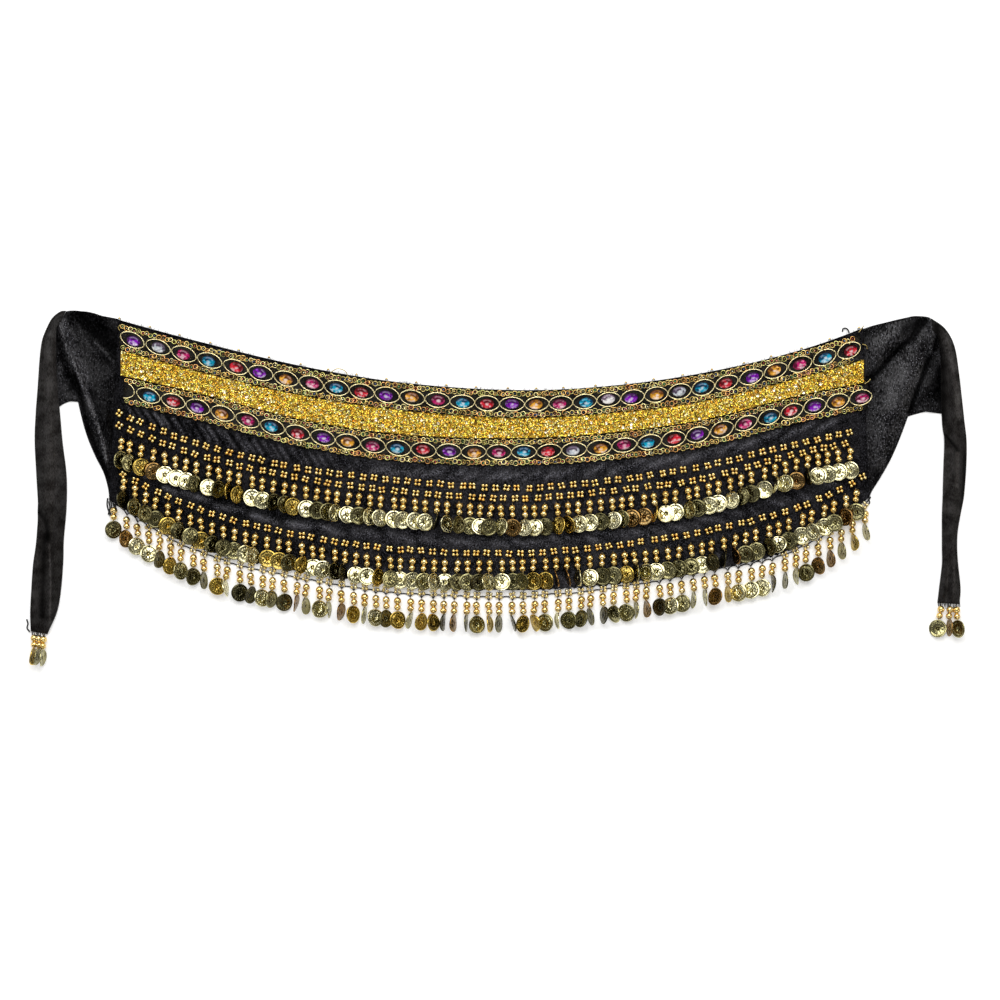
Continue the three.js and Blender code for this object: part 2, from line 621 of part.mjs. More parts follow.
const PIECES = [
  ['panel', panelGeometry(), VELVET],
  ['upper_trim', jewelledRibbon(UPPER_RIBBON), RIBBON],
  ['sequin_band', sequinBand(), SEQUIN],
  ['lower_trim', jewelledRibbon(LOWER_RIBBON), RIBBON],
  ['left_wing', clothGeometry(LEFT_WING, WING_POINTS, WING_THICK, wingLift), VELVET],
  ['left_web', clothGeometry(LEFT_WEB, WEB_POINTS, WEB_THICK, lieFlat), SATIN],
  ['left_tie', clothGeometry(LEFT_TIE, TIE_POINTS, TIE_THICK, tieLift), SATIN],
  ['right_wing', clothGeometry(RIGHT_WING, WING_POINTS, WING_THICK, wingLift), VELVET],
  ['right_web', clothGeometry(RIGHT_WEB, WEB_POINTS, WEB_THICK, lieFlat), SATIN],
  ['right_tie', clothGeometry(RIGHT_TIE, TIE_POINTS, TIE_THICK, tieLift), SATIN],
  ['coin_row_1', sewnRow(COIN_ROWS.coin_row_1), GOLD],
  ['coin_row_2', sewnRow(COIN_ROWS.coin_row_2), GOLD],
  ['coin_row_3', hemNet(COIN_ROWS.coin_row_3), GOLD],
  ['left_tie_end', tieEnd(TIE_STRANDS.left_tie_end, LEFT_TIE_BAR), GOLD],
  ['right_tie_end', tieEnd(TIE_STRANDS.right_tie_end, RIGHT_TIE_BAR), GOLD],
];

const belt = new THREE.Group();
for (const [name, geometry, look] of PIECES) {
  const mesh = new THREE.Mesh(geometry, new THREE.MeshStandardMaterial(look));
  mesh.name = name;
  belt.add(mesh);
}
const box = new THREE.Box3().setFromObject(belt);
belt.position.set(-(box.min.x + box.max.x) / 2, -(box.min.y + box.max.y) / 2, -box.min.z);

const group = new THREE.Group();
group.add(belt);
export default group;
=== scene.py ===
"""A belly dance belt laid out flat: velvet and satin with jewelled ribbons, a sequin band, bead clusters
and coin drops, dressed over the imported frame. Shapes are in belt millimetres, with X along the belt, +Y
towards its waist edge and Z off the surface that it lies on."""
import math

import bpy
import numpy as np
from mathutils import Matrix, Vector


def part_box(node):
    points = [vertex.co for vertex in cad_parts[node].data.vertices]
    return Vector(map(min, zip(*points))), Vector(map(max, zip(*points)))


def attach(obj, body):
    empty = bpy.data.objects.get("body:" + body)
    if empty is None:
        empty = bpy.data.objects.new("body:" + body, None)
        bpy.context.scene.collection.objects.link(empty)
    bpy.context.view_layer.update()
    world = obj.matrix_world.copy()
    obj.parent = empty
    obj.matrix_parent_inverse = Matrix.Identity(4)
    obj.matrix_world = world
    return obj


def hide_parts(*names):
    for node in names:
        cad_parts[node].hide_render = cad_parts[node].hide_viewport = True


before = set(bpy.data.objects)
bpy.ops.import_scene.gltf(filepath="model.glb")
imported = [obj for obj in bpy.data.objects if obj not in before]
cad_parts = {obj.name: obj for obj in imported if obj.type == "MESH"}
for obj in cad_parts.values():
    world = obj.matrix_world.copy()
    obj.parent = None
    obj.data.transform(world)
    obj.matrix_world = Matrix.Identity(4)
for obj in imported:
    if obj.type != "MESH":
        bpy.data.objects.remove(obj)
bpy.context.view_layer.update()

# ---- Sizes shared with the solids, in millimetres ----
LEFT_TIE_END, LEFT_TIE_TOP = -422, 164.3  # the left tie's furthest points
TIE_LOW, TIE_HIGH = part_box("left_tie")
SHIFT = np.array([TIE_LOW.x * 1000 - LEFT_TIE_END, TIE_HIGH.y * 1000 - LEFT_TIE_TOP, 0])
SEAM = 0.3
PANEL_THICK, WING_THICK, WEB_THICK, TIE_THICK, RIBBON_THICK, BAND_THICK = 2, 1.6, 1.2, 2.2, 1.2, 1
RIBBON_WIDTH = 24.5
RIBBON_TOP = PANEL_THICK + SEAM + RIBBON_THICK
BAND_START, BAND_END = -340.5, 327.5
GEM_COUNT = 30
COIN_RADIUS, COIN_THICK, HOLE_RADIUS = 8, 1, 6.2
BEAD_STEP, ROOT_RISE, HOLE_DROP, BEAD_HEIGHT, ROOT_HEIGHT = 6.3, 3.9, 5.8, 2.9, 0.65
LIFT_STEP, SLIDES = 0.2, (0, 0.5, 1, 1.5, 2)
DROP_JITTER, TURN_JITTER, LEAN_JITTER = 1.1, 4, 7

# Height Y of each line of the panel at nine stations along X.
STATIONS = np.array([-341.5, -269.5, -179.5, -89.5, 18.5, 90.5, 180.5, 270.5, 324.5])
LINES = {
    "waist": [156, 136.5, 115, 100, 93, 96, 108, 129, 148],
    "upper_low": [129, 109.5, 88.5, 75, 68, 71.5, 82.5, 104, 119.5],
    "lower_low": [81.5, 65, 42, 28.5, 25, 29, 41, 63.5, 74],
    "cluster_a": [72.5, 44.5, 23, 12, 5, 10.5, 24, 45.5, 57],
    "cluster_b": [61.5, 34.5, 14, 2, -4, 1.5, 13, 36.5, 47],
    "bead_1": [48, 25.5, 5, -6, -13, -7.5, 5, 30, 40],
    "cluster_c": [19.5, -14, -37.5, -50, -53.5, -48, -34.5, -11.5, 14],
    "bead_2": [14, -24, -46.5, -60, -61.5, -57, -46.5, -21, 3],
    "hem": [-12, -49, -70, -81.5, -87, -83, -70.5, -47, -10.5],
    "thread": [-15, -56, -79, -92.5, -96, -89, -74, -52, -17.5],
}

# X of some stones on each ribbon. Those between them are evenly spaced.
GEM_STATIONS = (0, 4, 8, 12, 16, 20, 24, 29)
GEM_X = {
    "upper_trim": (-329.9, -237.2, -146.3, -55.8, 33.6, 119.6, 204.1, 314.1),
    "lower_trim": (-315.5, -226.5, -136.1, -45.7, 44.5, 134.7, 221.6, 324.5),
}

# Cloth sections from an outer or upper edge (ax, ay) to an inner or lower one (bx, by).
SECTIONS = {
    "left_wing": [
        (-343, 157, -351, -8.5), (-350.5, 158.5, -351.8, 3), (-358, 160, -356, 18.5),
        (-364, 162, -364, 34.5), (-370.5, 163.5, -372, 54.5), (-376, 164, -378.5, 79.5),
        (-381, 164.5, -383.5, 106.5), (-385.5, 164.5, -389, 133.5), (-389.5, 164, -394, 154.5),
    ],
    "left_web": [
        (-395.8, 152.2, -393.9, 152.2), (-397.8, 147, -392.7, 147), (-398.1, 129, -388.6, 129),
        (-397, 102, -383.5, 104), (-395.2, 77, -379.5, 82),
    ],
    "left_tie": [
        (-390, 164.3, -394.5, 154.7), (-395, 163.6, -395.8, 153), (-402, 158, -398, 149),
        (-407, 149, -398.5, 140), (-411, 138, -398.6, 127.5), (-413.5, 120, -398.2, 109.5),
        (-415.5, 93, -396.4, 84), (-417, 73.5, -395, 68), (-418, 48, -393, 45.5),
        (-416.5, 16.5, -389.5, 16.5), (-415, -13, -389.5, -12), (-416.5, -42, -392, -42),
        (-419.5, -64.5, -392.5, -61.5), (-421, -87, -394.5, -87), (-422, -106.5, -398, -106.5),
        (-421.5, -124, -406.5, -126.5),
    ],
    "right_wing": [
        (327, 148, 332, -6), (336, 151, 335, 2), (346, 153.5, 342.5, 14), (356, 156, 351.5, 30),
        (365, 158, 359.5, 48), (372, 159.5, 367, 68), (378.5, 159.5, 376, 93), (384, 159, 384, 118.5),
        (387.5, 158, 389, 142.5),
    ],
    "right_web": [
        (389.4, 143, 392.2, 143), (388.8, 139, 393.3, 139), (384, 116.5, 396.1, 122),
        (376.2, 91.5, 396.6, 93), (367.8, 68.5, 397.1, 71.5),
    ],
    "right_tie": [
        (388.4, 157.4, 389.3, 147), (399, 150, 393.6, 142), (405.5, 141, 395.2, 133.5),
        (410, 129, 396.7, 122), (413, 109.5, 397, 106), (415.5, 88.5, 397.2, 86), (418, 66, 398.2, 62.5),
        (420, 48, 400, 46.5), (420, 30, 399.5, 29), (419, 12, 399, 12), (417.5, -4, 398.5, -4),
        (414.5, -19.5, 398, -19.5), (412, -34.5, 398, -34.5), (411.5, -49, 398, -49),
        (412.5, -65, 398, -63.5), (414.5, -85, 395.5, -85), (413.5, -99.5, 394, -98.5),
    ],
}

# Coin rows, one letter a coin: how far each is turned about the line that it hangs on, in degrees, and its
# tone, which is white, light, medium, amber, dark, brown or black. Amber and brown tint the gilding; medium,
# dark and black darken it as painted shade and painted dark reflections.
TURNS = {"S": 14, "F": 28, "T": 46, "H": 60, "N": 70, "E": 80}
COIN_GILDING_AND_PAINTED_SHADE = {
    "W": (1.0, 0.98, 0.9), "L": (1.0, 0.98, 0.86), "M": (0.5, 0.48, 0.34), "A": (0.78, 0.58, 0.18),
    "D": (0.22, 0.21, 0.14), "B": (0.34, 0.2, 0.09), "K": (0.09, 0.085, 0.06),
}
COIN_ROWS = {
    "coin_row_1": {
        "line": "bead_1", "seed": 11, "base": PANEL_THICK, "start": -340.5, "end": 315,
        "turns": "TTFSSSSTSTETSSTTFSSFTSSTFSSSSETTSSSTSFSSTTSSSFTSSESSTSSSFTSSEFSESSSS",
        "tones": "MMABWWWDWDAAWLDDAWDMLLDLWLLWLKLDMWDLBWWDAALLDWMBBAWLMDLWWDDLLLBDWLLL",
    },
    "coin_row_2": {
        "line": "bead_2", "seed": 21, "base": PANEL_THICK, "start": -338, "end": 321,
        "turns": "HTTSSTFSTFSSTSSFTSSTNSSTFSSSTSFSSTSSTSFEENSSSFNTSSFSSTENSSTFSSTSFTS",
        "tones": "KMDDADMADDMLLAADALLDKLLAMLLMWLDMKLLDDAABBLWDMAMLLMDDLKKBDMDWDLLLMBM",
    },
    "coin_row_3": {
        "line": "thread", "seed": 31, "base": 0, "start": -346.5, "end": 327.5,
        "turns": "FTFSHTTTNFEFHFHFENFENTEFTFNTTENEFNNETHFEFTNNTFENTFFEETNFFFEEEFTNNNE",
        "tones": "DBWLDAMDDALKKLMDBMLMBAMWDAMAAKBDMADKAAMLDDDKMMMBKLMMMBALLLKDMDBBMAM",
    },
}
TIE_ENDS = {  # x and y of each drop's root, how far its coin hangs to the side, its turn and its tone letter (gilding and painted shade, as in the rows)
    "left_tie_end": [
        (-418.3, -125.8, 0, 76, "A"), (-414.3, -126.4, 0.4, 79, "M"), (-410.3, -127.1, 0, 80, "M"),
    ],
    "right_tie_end": [
        (397.5, -99.9, -3.5, 16, "M"), (404.5, -100.2, -0.5, 80, "B"), (410.8, -100.6, 1, 50, "M"),
    ],
}

# ---- Camera, floor and light ----
PHOTO_MIDDLE = (0.45, -5.85)  # belt millimetres at the middle of the view
VIEW_WIDTH = 0.9
LENS, SENSOR = 100, 36
CAMERA_HEIGHT = VIEW_WIDTH * LENS / SENSOR


def add_camera():
    camera = bpy.data.objects.new("camera", bpy.data.cameras.new("camera"))
    camera.data.lens, camera.data.sensor_width = LENS, SENSOR
    camera.location = (*(SHIFT[:2] + PHOTO_MIDDLE) / 1000, CAMERA_HEIGHT)
    bpy.context.scene.collection.objects.link(camera)
    bpy.context.scene.camera = camera


def add_light(name, place, size, power, colour=(1, 1, 1)):
    """A softbox that faces the middle of the belt."""
    data = bpy.data.lights.new(name, "AREA")
    data.shape, data.size, data.size_y, data.energy, data.color = "RECTANGLE", *size, power, colour
    light = bpy.data.objects.new(name, data)
    light.location = place
    direction = -light.location
    light.rotation_euler = direction.to_track_quat("-Z", "Y").to_euler()
    bpy.context.scene.collection.objects.link(light)


# ---- Small helpers ----
def scatter(index, seed):
    """A repeatable scatter from 0 to 1."""
    wave = np.sin(np.asarray(index, float) * 12.9898 + seed * 78.233) * 43758.5453
    return wave - np.floor(wave)


def spread(index, seed):
    """A repeatable scatter from -1 to 1."""
    return 2 * scatter(index, seed) - 1


def picked(table, index, seed):
    """A repeatable pick from a table, one for each index."""
    return table[(scatter(index, seed) * len(table)).astype(int)]


def xyz(x, y, z):
    """Points from their coordinates, spread to one shape."""
    return np.stack(np.broadcast_arrays(x, y, z), -1)


def line(name, x):
    """Height of a named line at x: a cubic through the stations, straight beyond them."""
    x = np.asarray(x, float)
    y = np.array(LINES[name], float)
    slopes = np.diff(y) / np.diff(STATIONS)
    ends = 1.5 * slopes[[0, -1]] - 0.5 * slopes[[1, -2]]
    tangents = np.concatenate([ends[:1], (slopes[:-1] + slopes[1:]) / 2, ends[1:]])
    k = np.clip(np.searchsorted(STATIONS, x) - 1, 0, len(slopes) - 1)
    span = STATIONS[k + 1] - STATIONS[k]
    t = np.clip((x - STATIONS[k]) / span, 0, 1)
    curve = y[k] + (y[k + 1] - y[k]) * t * t * (3 - 2 * t)
    curve += t * (1 - t) ** 2 * span * tangents[k] + t * t * (t - 1) * span * tangents[k + 1]
    return curve + ends[0] * np.minimum(x - STATIONS[0], 0) + ends[1] * np.maximum(x - STATIONS[-1], 0)


def slope_angle(name, x):
    return np.arctan((line(name, x + 1) - line(name, x - 1)) / 2)


def crest(x, y, points, width):
    """How close (x, y) is to a crest through points: 1 on it, fading to 0 at about twice its width."""
    nearest = np.full(np.shape(x), np.inf)
    for (ax, ay), (bx, by) in zip(points, points[1:]):
        dx, dy = bx - ax, by - ay
        share = np.clip(((x - ax) * dx + (y - ay) * dy) / (dx * dx + dy * dy), 0, 1)
        nearest = np.minimum(nearest, np.hypot(x - ax - share * dx, y - ay - share * dy))
    return np.exp(-((nearest / width) ** 2))


def painted_stroke_light(x, y, strokes):
    """Painted light and shade: 1, with each stroke's strength added along its points."""
    tone = 1 + sum(strength * crest(x, y, path, width) for path, strength, width in strokes)
    return np.clip(tone, 0.12, 3)


def turned(angle):
    """Frames that turn about Z, one for each angle in radians."""
    angle = np.atleast_1d(angle)
    frames = np.zeros((len(angle), 3, 3))
    frames[:, 0, 0] = frames[:, 1, 1] = np.cos(angle)
    frames[:, 0, 1], frames[:, 1, 0], frames[:, 2, 2] = np.sin(angle), -np.sin(angle), 1
    return frames


def tilted(count, seed, most):
    """Frames that each tilt up to most radians in a direction of their own, after a free turn about Z."""
    i = np.arange(count)
    a, b = most * spread(i, seed), most * spread(i, seed + 1)
    frames = np.zeros((count, 3, 3))
    frames[:, 0, 0], frames[:, 0, 2] = np.cos(a), np.sin(a)
    frames[:, 1, 1], frames[:, 1, 2] = np.cos(b), np.sin(b)
    frames[:, 2] = np.cross(frames[:, 0], frames[:, 1])
    return turned(math.tau * scatter(i, seed + 2)) @ frames


def grid_faces(rows, columns, closed=False):
    """Quads over a grid of rows by columns of points. Closed columns join up round each row."""
    i, j = np.meshgrid(np.arange(rows - 1), np.arange(columns - (not closed)), indexing="ij")
    after = (j + 1) % columns
    quads = [i * columns + j, i * columns + after, (i + 1) * columns + after, (i + 1) * columns + j]
    return np.stack(quads, -1).reshape(-1, 4)


def fan(middle, first, count, flip=False):
    """Triangles from one point to a ring of points."""
    j = np.arange(count)
    corners = [np.full(count, middle), first + j, first + (j + 1) % count]
    return np.stack(corners[::-1] if flip else corners, -1)


# ---- Shapes that are repeated, each a pair of points and faces ----
BEAD_END = 0.93  # reach of a unit bead along its hole
ROPE_SWELL = 0.22  # how far the strands of a rope stand out, as a share of its radius


def sphere_shape(segments, rings):
    """A unit sphere with its poles on Y, where a bead's hole is."""
    down = math.pi * np.arange(1, rings)[:, None] / rings
    around = math.tau * np.arange(segments) / segments
    ball = xyz(np.sin(down) * np.cos(around), np.cos(down), np.sin(down) * np.sin(around))
    points = np.concatenate([ball.reshape(-1, 3), [(0, BEAD_END, 0), (0, -BEAD_END, 0)]])
    count = (rings - 1) * segments
    faces = [grid_faces(rings - 1, segments, True), fan(count, 0, segments, True),
             fan(count + 1, count - segments, segments)]
    return points, faces


def tube_shape(path, radius, sides, closed=False, twist=0):
    """A tube along a path. With twist, it is a rope of two strands that turn round each other that often."""
    path = np.asarray(path, float)
    if closed:
        along = np.roll(path, -1, 0) - np.roll(path, 1, 0)
    else:
        along = np.gradient(path, axis=0)
    along /= np.linalg.norm(along, axis=1, keepdims=True)
    up = np.where(np.abs(along[:, 2:]) > 0.9, [[0, 1, 0]], [[0, 0, 1]])
    side = np.cross(up, along)
    side /= np.linalg.norm(side, axis=1, keepdims=True)
    up = np.cross(along, side)
    angle = math.tau * np.arange(sides) / sides
    phase = math.tau * twist * np.arange(len(path)) / len(path)
    reach = np.broadcast_to(np.asarray(radius, float).reshape(-1, 1), (len(path), 1))
    reach = reach * (1 + ROPE_SWELL * (twist > 0) * np.cos(2 * (angle[None] - phase[:, None])))
    points = path[:, None] + reach[..., None] * (
        np.cos(angle)[None, :, None] * side[:, None] + np.sin(angle)[None, :, None] * up[:, None])
    rows = len(path)
    faces = [grid_faces(rows, sides, True)]
    if closed:
        j = np.arange(sides)
        after, last = (j + 1) % sides, (rows - 1) * sides
        faces.append(np.stack([last + j, last + after, after, j], -1))
    else:
        faces += [np.arange(sides)[None, ::-1], np.arange(sides)[None] + (rows - 1) * sides]
    return points.reshape(-1, 3), faces


def cup_shape(sides, depth):
    """A unit sequin: a shallow cup."""
    angle = math.tau * np.arange(sides) / sides
    ring = xyz(np.cos(angle), np.sin(angle), 0)
    return np.concatenate([ring, [(0, 0, -depth)]]), [fan(sides, 0, sides)]


GEM_RINGS = ((1, -0.3, 0), (1, 0.7, 0), (0.84, 1.5, 0.5), (0.56, 2.1, 0))  # reach, height, steps turned
GEM_SIDES = 12


def gem_shape():
    """A cut stone of unit reach, with a girdle, two rows of facets and a table."""
    points = []
    for reach, height, step in GEM_RINGS:
        angle = math.tau * (np.arange(GEM_SIDES) + step) / GEM_SIDES
        points.append(xyz(reach * np.cos(angle), reach * np.sin(angle), height))
    j = np.arange(GEM_SIDES)
    after = (j + 1) % GEM_SIDES
    faces = []
    for i in range(len(GEM_RINGS) - 1):
        low, high = i * GEM_SIDES, (i + 1) * GEM_SIDES
        turns_back = GEM_RINGS[i][2] > GEM_RINGS[i + 1][2]
        above, below = (after, j) if turns_back else (j, after)
        faces.append(np.stack([low + j, low + after, high + above], -1))
        faces.append(np.stack([high + j, low + below, high + after], -1))
    faces.append(j[None] + (len(GEM_RINGS) - 1) * GEM_SIDES)
    return np.concatenate(points), faces


COIN_SEGMENTS = 40
COIN_REACH = np.array([0.16, 0.3, 0.46, 0.58, 0.68, 0.82, 0.9, 0.97, 1])  # rings of the face
PETALS = 8
RIM_HEIGHT, PETAL_HEIGHT, FIELD_DEPTH = 0.0385, 0.028, 0.035  # of the relief, in shares of the radius


def coin_shape():
    """A unit coin, struck with a raised rim and a plain rosette. Its hole is towards +Y."""
    reach = COIN_REACH[:, None]
    angle = math.tau * np.arange(COIN_SEGMENTS) / COIN_SEGMENTS
    petals = 0.5 + 0.5 * np.cos(PETALS * angle)
    relief = RIM_HEIGHT * (reach > 0.86) * (reach < 0.99)
    relief = relief + PETAL_HEIGHT * petals * np.exp(-(((reach - 0.42) / 0.2) ** 2))
    half = COIN_THICK / COIN_RADIUS / 2
    face = xyz(reach * np.cos(angle), reach * np.sin(angle), half - FIELD_DEPTH + relief)
    back = face[[-1, 6, 0]].copy()
    back[..., 2] = -half
    rows = len(COIN_REACH)
    points = np.concatenate([face.reshape(-1, 3), back.reshape(-1, 3), [(0, 0, half), (0, 0, -half)]])
    faces = [grid_faces(rows + 3, COIN_SEGMENTS, True), fan(len(points) - 2, 0, COIN_SEGMENTS),
             fan(len(points) - 1, (rows + 2) * COIN_SEGMENTS, COIN_SEGMENTS, True)]
    return points, faces


class Piece:
    """One piece of the model as points and faces, each point with a tone and its place in its copy."""

    def __init__(self, name):
        self.name, self.count = name, 0
        self.points, self.faces, self.tones, self.locals = [], [], [], []

    def add(self, shape, frames=None, centres=((0, 0, 0),), tones=(1, 1, 1), bend=None):
        """Copies of a shape, each turned and scaled by a frame and moved to a centre. bend(points) gives each
        its own form. Tones are one for all, one a copy, or one a point of a single copy."""
        points, faces = shape
        centres = np.asarray(centres, float)
        frames = np.broadcast_to(np.eye(3) if frames is None else frames, (len(centres), 3, 3))
        formed = np.broadcast_to(points, (len(centres), *points.shape)) if bend is None else bend(points)
        placed = np.einsum("kni,kij->knj", formed, frames) + centres[:, None]
        tones = np.asarray(tones, float).reshape(-1, 3)
        tones = tones[None] if len(tones) == len(points) else tones[:, None]
        tones = np.broadcast_to(tones, (len(centres), len(points), 3))
        starts = self.count + len(points) * np.arange(len(centres))
        for polygons in faces:
            moved = polygons[None] + starts[:, None, None]
            self.faces.append(moved.reshape(-1, polygons.shape[1]))
        self.points.append(placed.reshape(-1, 3))
        self.tones.append(tones.reshape(-1, 3))
        self.locals.append(np.broadcast_to(points, placed.shape).reshape(-1, 3))
        self.count += len(centres) * len(points)

    def finish(self, material, slot, smooth=True, replaces=()):
        points = (np.concatenate(self.points) + SHIFT) / 1000
        loops = np.concatenate([faces.ravel() for faces in self.faces])
        sizes = np.concatenate([np.full(len(faces), faces.shape[1]) for faces in self.faces])
        mesh = bpy.data.meshes.new(self.name)
        mesh.vertices.add(len(points))
        mesh.vertices.foreach_set("co", points.ravel())
        mesh.loops.add(len(loops))
        mesh.loops.foreach_set("vertex_index", loops)
        mesh.polygons.add(len(sizes))
        mesh.polygons.foreach_set("loop_start", np.concatenate([[0], np.cumsum(sizes)[:-1]]))
        mesh.update(calc_edges=True)
        mesh.polygons.foreach_set("use_smooth", np.full(len(sizes), smooth))
        tone = mesh.attributes.new("tone", "FLOAT_COLOR", "POINT")
        tone.data.foreach_set("color", np.insert(np.concatenate(self.tones), 3, 1, axis=1).ravel())
        local = mesh.attributes.new("local", "FLOAT_VECTOR", "POINT")
        local.data.foreach_set("vector", np.concatenate(self.locals).ravel())
        mesh.materials.append(material)
        thing = bpy.data.objects.new(self.name, mesh)
        bpy.context.scene.collection.objects.link(thing)
        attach(thing, "root")
        if replaces:
            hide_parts(*replaces)
        return thing


# ---- Materials ----
class Finish:
    """A material's nodes around one Principled shader."""

    def __init__(self, name, **constants):
        self.material = bpy.data.materials.new(name)
        self.material.use_nodes = True
        self.tree = self.material.node_tree
        self.shader = self.tree.nodes["Principled BSDF"]
        for socket, value in constants.items():
            self.shader.inputs[socket.replace("_", " ")].default_value = value

    def node(self, kind, settings=None, **inputs):
        """A node. Inputs are named as its sockets are, with _ for a space, or a0, a1 and so on by place."""
        node = self.tree.nodes.new("ShaderNode" + kind)
        for key, value in (settings or {}).items():
            setattr(node, key, value)
        for key, value in inputs.items():
            place = key[1:].isdigit() and key[0] == "a"
            socket = node.inputs[int(key[1:]) if place else key.replace("_", " ")]
            if isinstance(value, bpy.types.NodeSocket):
                self.tree.links.new(value, socket)
            else:
                socket.default_value = value
        return node

    def math(self, operation, *values):
        inputs = {f"a{i}": value for i, value in enumerate(values)}
        return self.node("Math", {"operation": operation}, **inputs).outputs[0]

    def distance(self, u, v):
        """How far (u, v) is from (0, 0)."""
        return self.math("SQRT", self.math("ADD", self.math("MULTIPLY", u, u), self.math("MULTIPLY", v, v)))

    def span(self, value, low, high, to_low=0, to_high=1):
        return self.node("MapRange", None, Value=value, From_Min=low, From_Max=high, To_Min=to_low,
                         To_Max=to_high).outputs[0]

    def mix(self, share, one, other, blend="MIX"):
        node = self.node("Mix", {"data_type": "RGBA", "blend_type": blend})
        for socket, value in ((node.inputs[0], share), (node.inputs[6], one), (node.inputs[7], other)):
            if isinstance(value, bpy.types.NodeSocket):
                self.tree.links.new(value, socket)
            else:
                socket.default_value = (*value, 1) if isinstance(value, tuple) else value
        return node.outputs[2]

    def noise(self, scale, detail=2, stretch=(1, 1, 1)):
        place = self.node("TexCoord").outputs["Object"]
        if stretch != (1, 1, 1):
            place = self.node("Mapping", None, Vector=place, Scale=stretch).outputs[0]
        return self.node("TexNoise", None, Vector=place, Scale=scale, Detail=detail).outputs[0]

    def attribute(self, name):
        return self.node("Attribute", {"attribute_name": name})

    def local(self):
        """The first two coordinates within a copy."""
        parts = self.node("SeparateXYZ", None, Vector=self.attribute("local").outputs["Vector"])
        return parts.outputs[:2]

    def set(self, **links):
        for socket, value in links.items():
            self.tree.links.new(value, self.shader.inputs[socket.replace("_", " ")])
        return self.material

    def bump(self, height, depth):
        """A bump in metres."""
        return self.node("Bump", None, Height=height, Strength=1.0, Distance=depth).outputs[0]


def cloth_material(name, dark, light, roughness, grain, stretch, flecks=0.0, fleck_colour=None):
    """Woven or napped cloth: mottled colour, a fine grain that may run one way, and bright flecks of lurex.
    Its tone is painted light and shade, multiplied into the colour and the specular level: above 1 a painted
    sheen, below 1 painted shade towards black."""
    finish = Finish(name, Sheen_Weight=0.02, Sheen_Roughness=0.4)
    fine = finish.noise(grain, 3, stretch)
    broad = finish.noise(grain / 14, 2)
    share = finish.span(finish.math("ADD", fine, finish.math("MULTIPLY", broad, 0.6)), 0.66, 1.0)
    colour = finish.mix(share, dark, light)
    if flecks:
        place = finish.node("TexCoord").outputs["Object"]
        cells = finish.node("TexVoronoi", None, Vector=place, Scale=grain * 1.4, Randomness=1.0)
        chance = finish.node("SeparateColor", None, Color=cells.outputs["Color"]).outputs[0]
        chosen = finish.math("GREATER_THAN", chance, 1 - flecks)
        near = finish.math("LESS_THAN", cells.outputs["Distance"], 0.35)
        colour = finish.mix(finish.math("MULTIPLY", chosen, near), colour, fleck_colour)
    normal = finish.bump(fine, 0.0004)
    rough = finish.span(broad, 0.3, 0.7, roughness - 0.08, roughness + 0.08)
    # The tone attribute is painted light and shade: it scales the specular level and lightens or darkens the
    # colour.
    nap = finish.attribute("tone")
    shine = finish.math("MULTIPLY", finish.span(share, 0, 1, 0.02, 0.3), nap.outputs["Fac"])
    colour = finish.mix(1.0, colour, nap.outputs["Color"], "MULTIPLY")
    return finish.set(Base_Color=colour, Roughness=rough, Normal=normal, Specular_IOR_Level=shine)


# A coin's stamping, in shares of its radius.
DOT_COUNT, DOT_REACH = 18, 0.7
RIM_REACH, GROOVE_REACH = 0.86, 0.83
ROSETTE_LOBES, ROSETTE_REACH, LOBE_REACH = 6, 0.36, 0.12
HOLE_SIZE, HOLE_PAINTED_SHADE = 0.1, (0.01, 0.009, 0.006)


def metal_material(name, colour, shade, roughness, wear_scale, struck=False, edge_painted_shade=None, edge_painted_shade_share=0.0):
    """Gilt metal whose colour varies with each copy's tone, with tarnish in patches. It is struck as a coin
    is, or else has, by edge_painted_shade_share, painted shade and painted reflection where it turns away."""
    finish = Finish(name, Metallic=1.0)
    tone = finish.attribute("tone").outputs["Color"]
    wear = finish.noise(wear_scale, 3)
    colour = finish.mix(finish.span(wear, 0.45, 0.7), colour, shade)
    colour = finish.mix(1.0, colour, tone, "MULTIPLY")
    rough = finish.span(wear, 0.3, 0.7, roughness, roughness + 0.15)
    if not struck:
        # Painted shade and reflection at the rims of beads and wire, where they turn away from the camera.
        facing = finish.node("LayerWeight", None, Blend=0.5).outputs["Facing"]
        colour = finish.mix(finish.span(facing, 0.3, 0.8, 0, edge_painted_shade_share), colour, edge_painted_shade)
        return finish.set(Base_Color=colour, Roughness=rough, Normal=finish.bump(wear, 0.0001))
    u, v = finish.local()
    reach, angle = finish.distance(u, v), finish.math("ARCTAN2", v, u)

    def waves(count):
        return finish.math("COSINE", finish.math("MULTIPLY", angle, count))

    def away(middle):
        return finish.math("ABSOLUTE", finish.math("SUBTRACT", reach, middle))

    dots = finish.span(waves(DOT_COUNT), 0, 0.7)
    dots = finish.math("MULTIPLY", dots, finish.span(away(DOT_REACH), 0.1, 0.05))
    rim = finish.span(reach, RIM_REACH, RIM_REACH + 0.04)
    lobe = finish.math("ADD", finish.math("MULTIPLY", waves(ROSETTE_LOBES), LOBE_REACH), ROSETTE_REACH)
    rosette = finish.math("MULTIPLY", finish.span(finish.math("SUBTRACT", lobe, reach), -0.03, 0.08), 0.6)
    relief = finish.math("ADD", dots, finish.math("ADD", rosette, rim))
    groove = finish.span(away(GROOVE_REACH), 0.06, 0.02)
    hollow = finish.math("MAXIMUM", groove, finish.span(relief, 0.5, 0.1, 0, 0.45))
    dark = tuple(part * 0.6 for part in shade)
    colour = finish.mix(finish.math("MULTIPLY", hollow, 0.7), colour, dark)
    # The hole is not cut: its place is painted dark, as painted shade.
    hole = finish.distance(u, finish.math("SUBTRACT", v, HOLE_RADIUS / COIN_RADIUS))
    colour = finish.mix(finish.math("LESS_THAN", hole, HOLE_SIZE), colour, HOLE_PAINTED_SHADE)
    return finish.set(Base_Color=colour, Roughness=rough, Normal=finish.bump(relief, 0.00018))


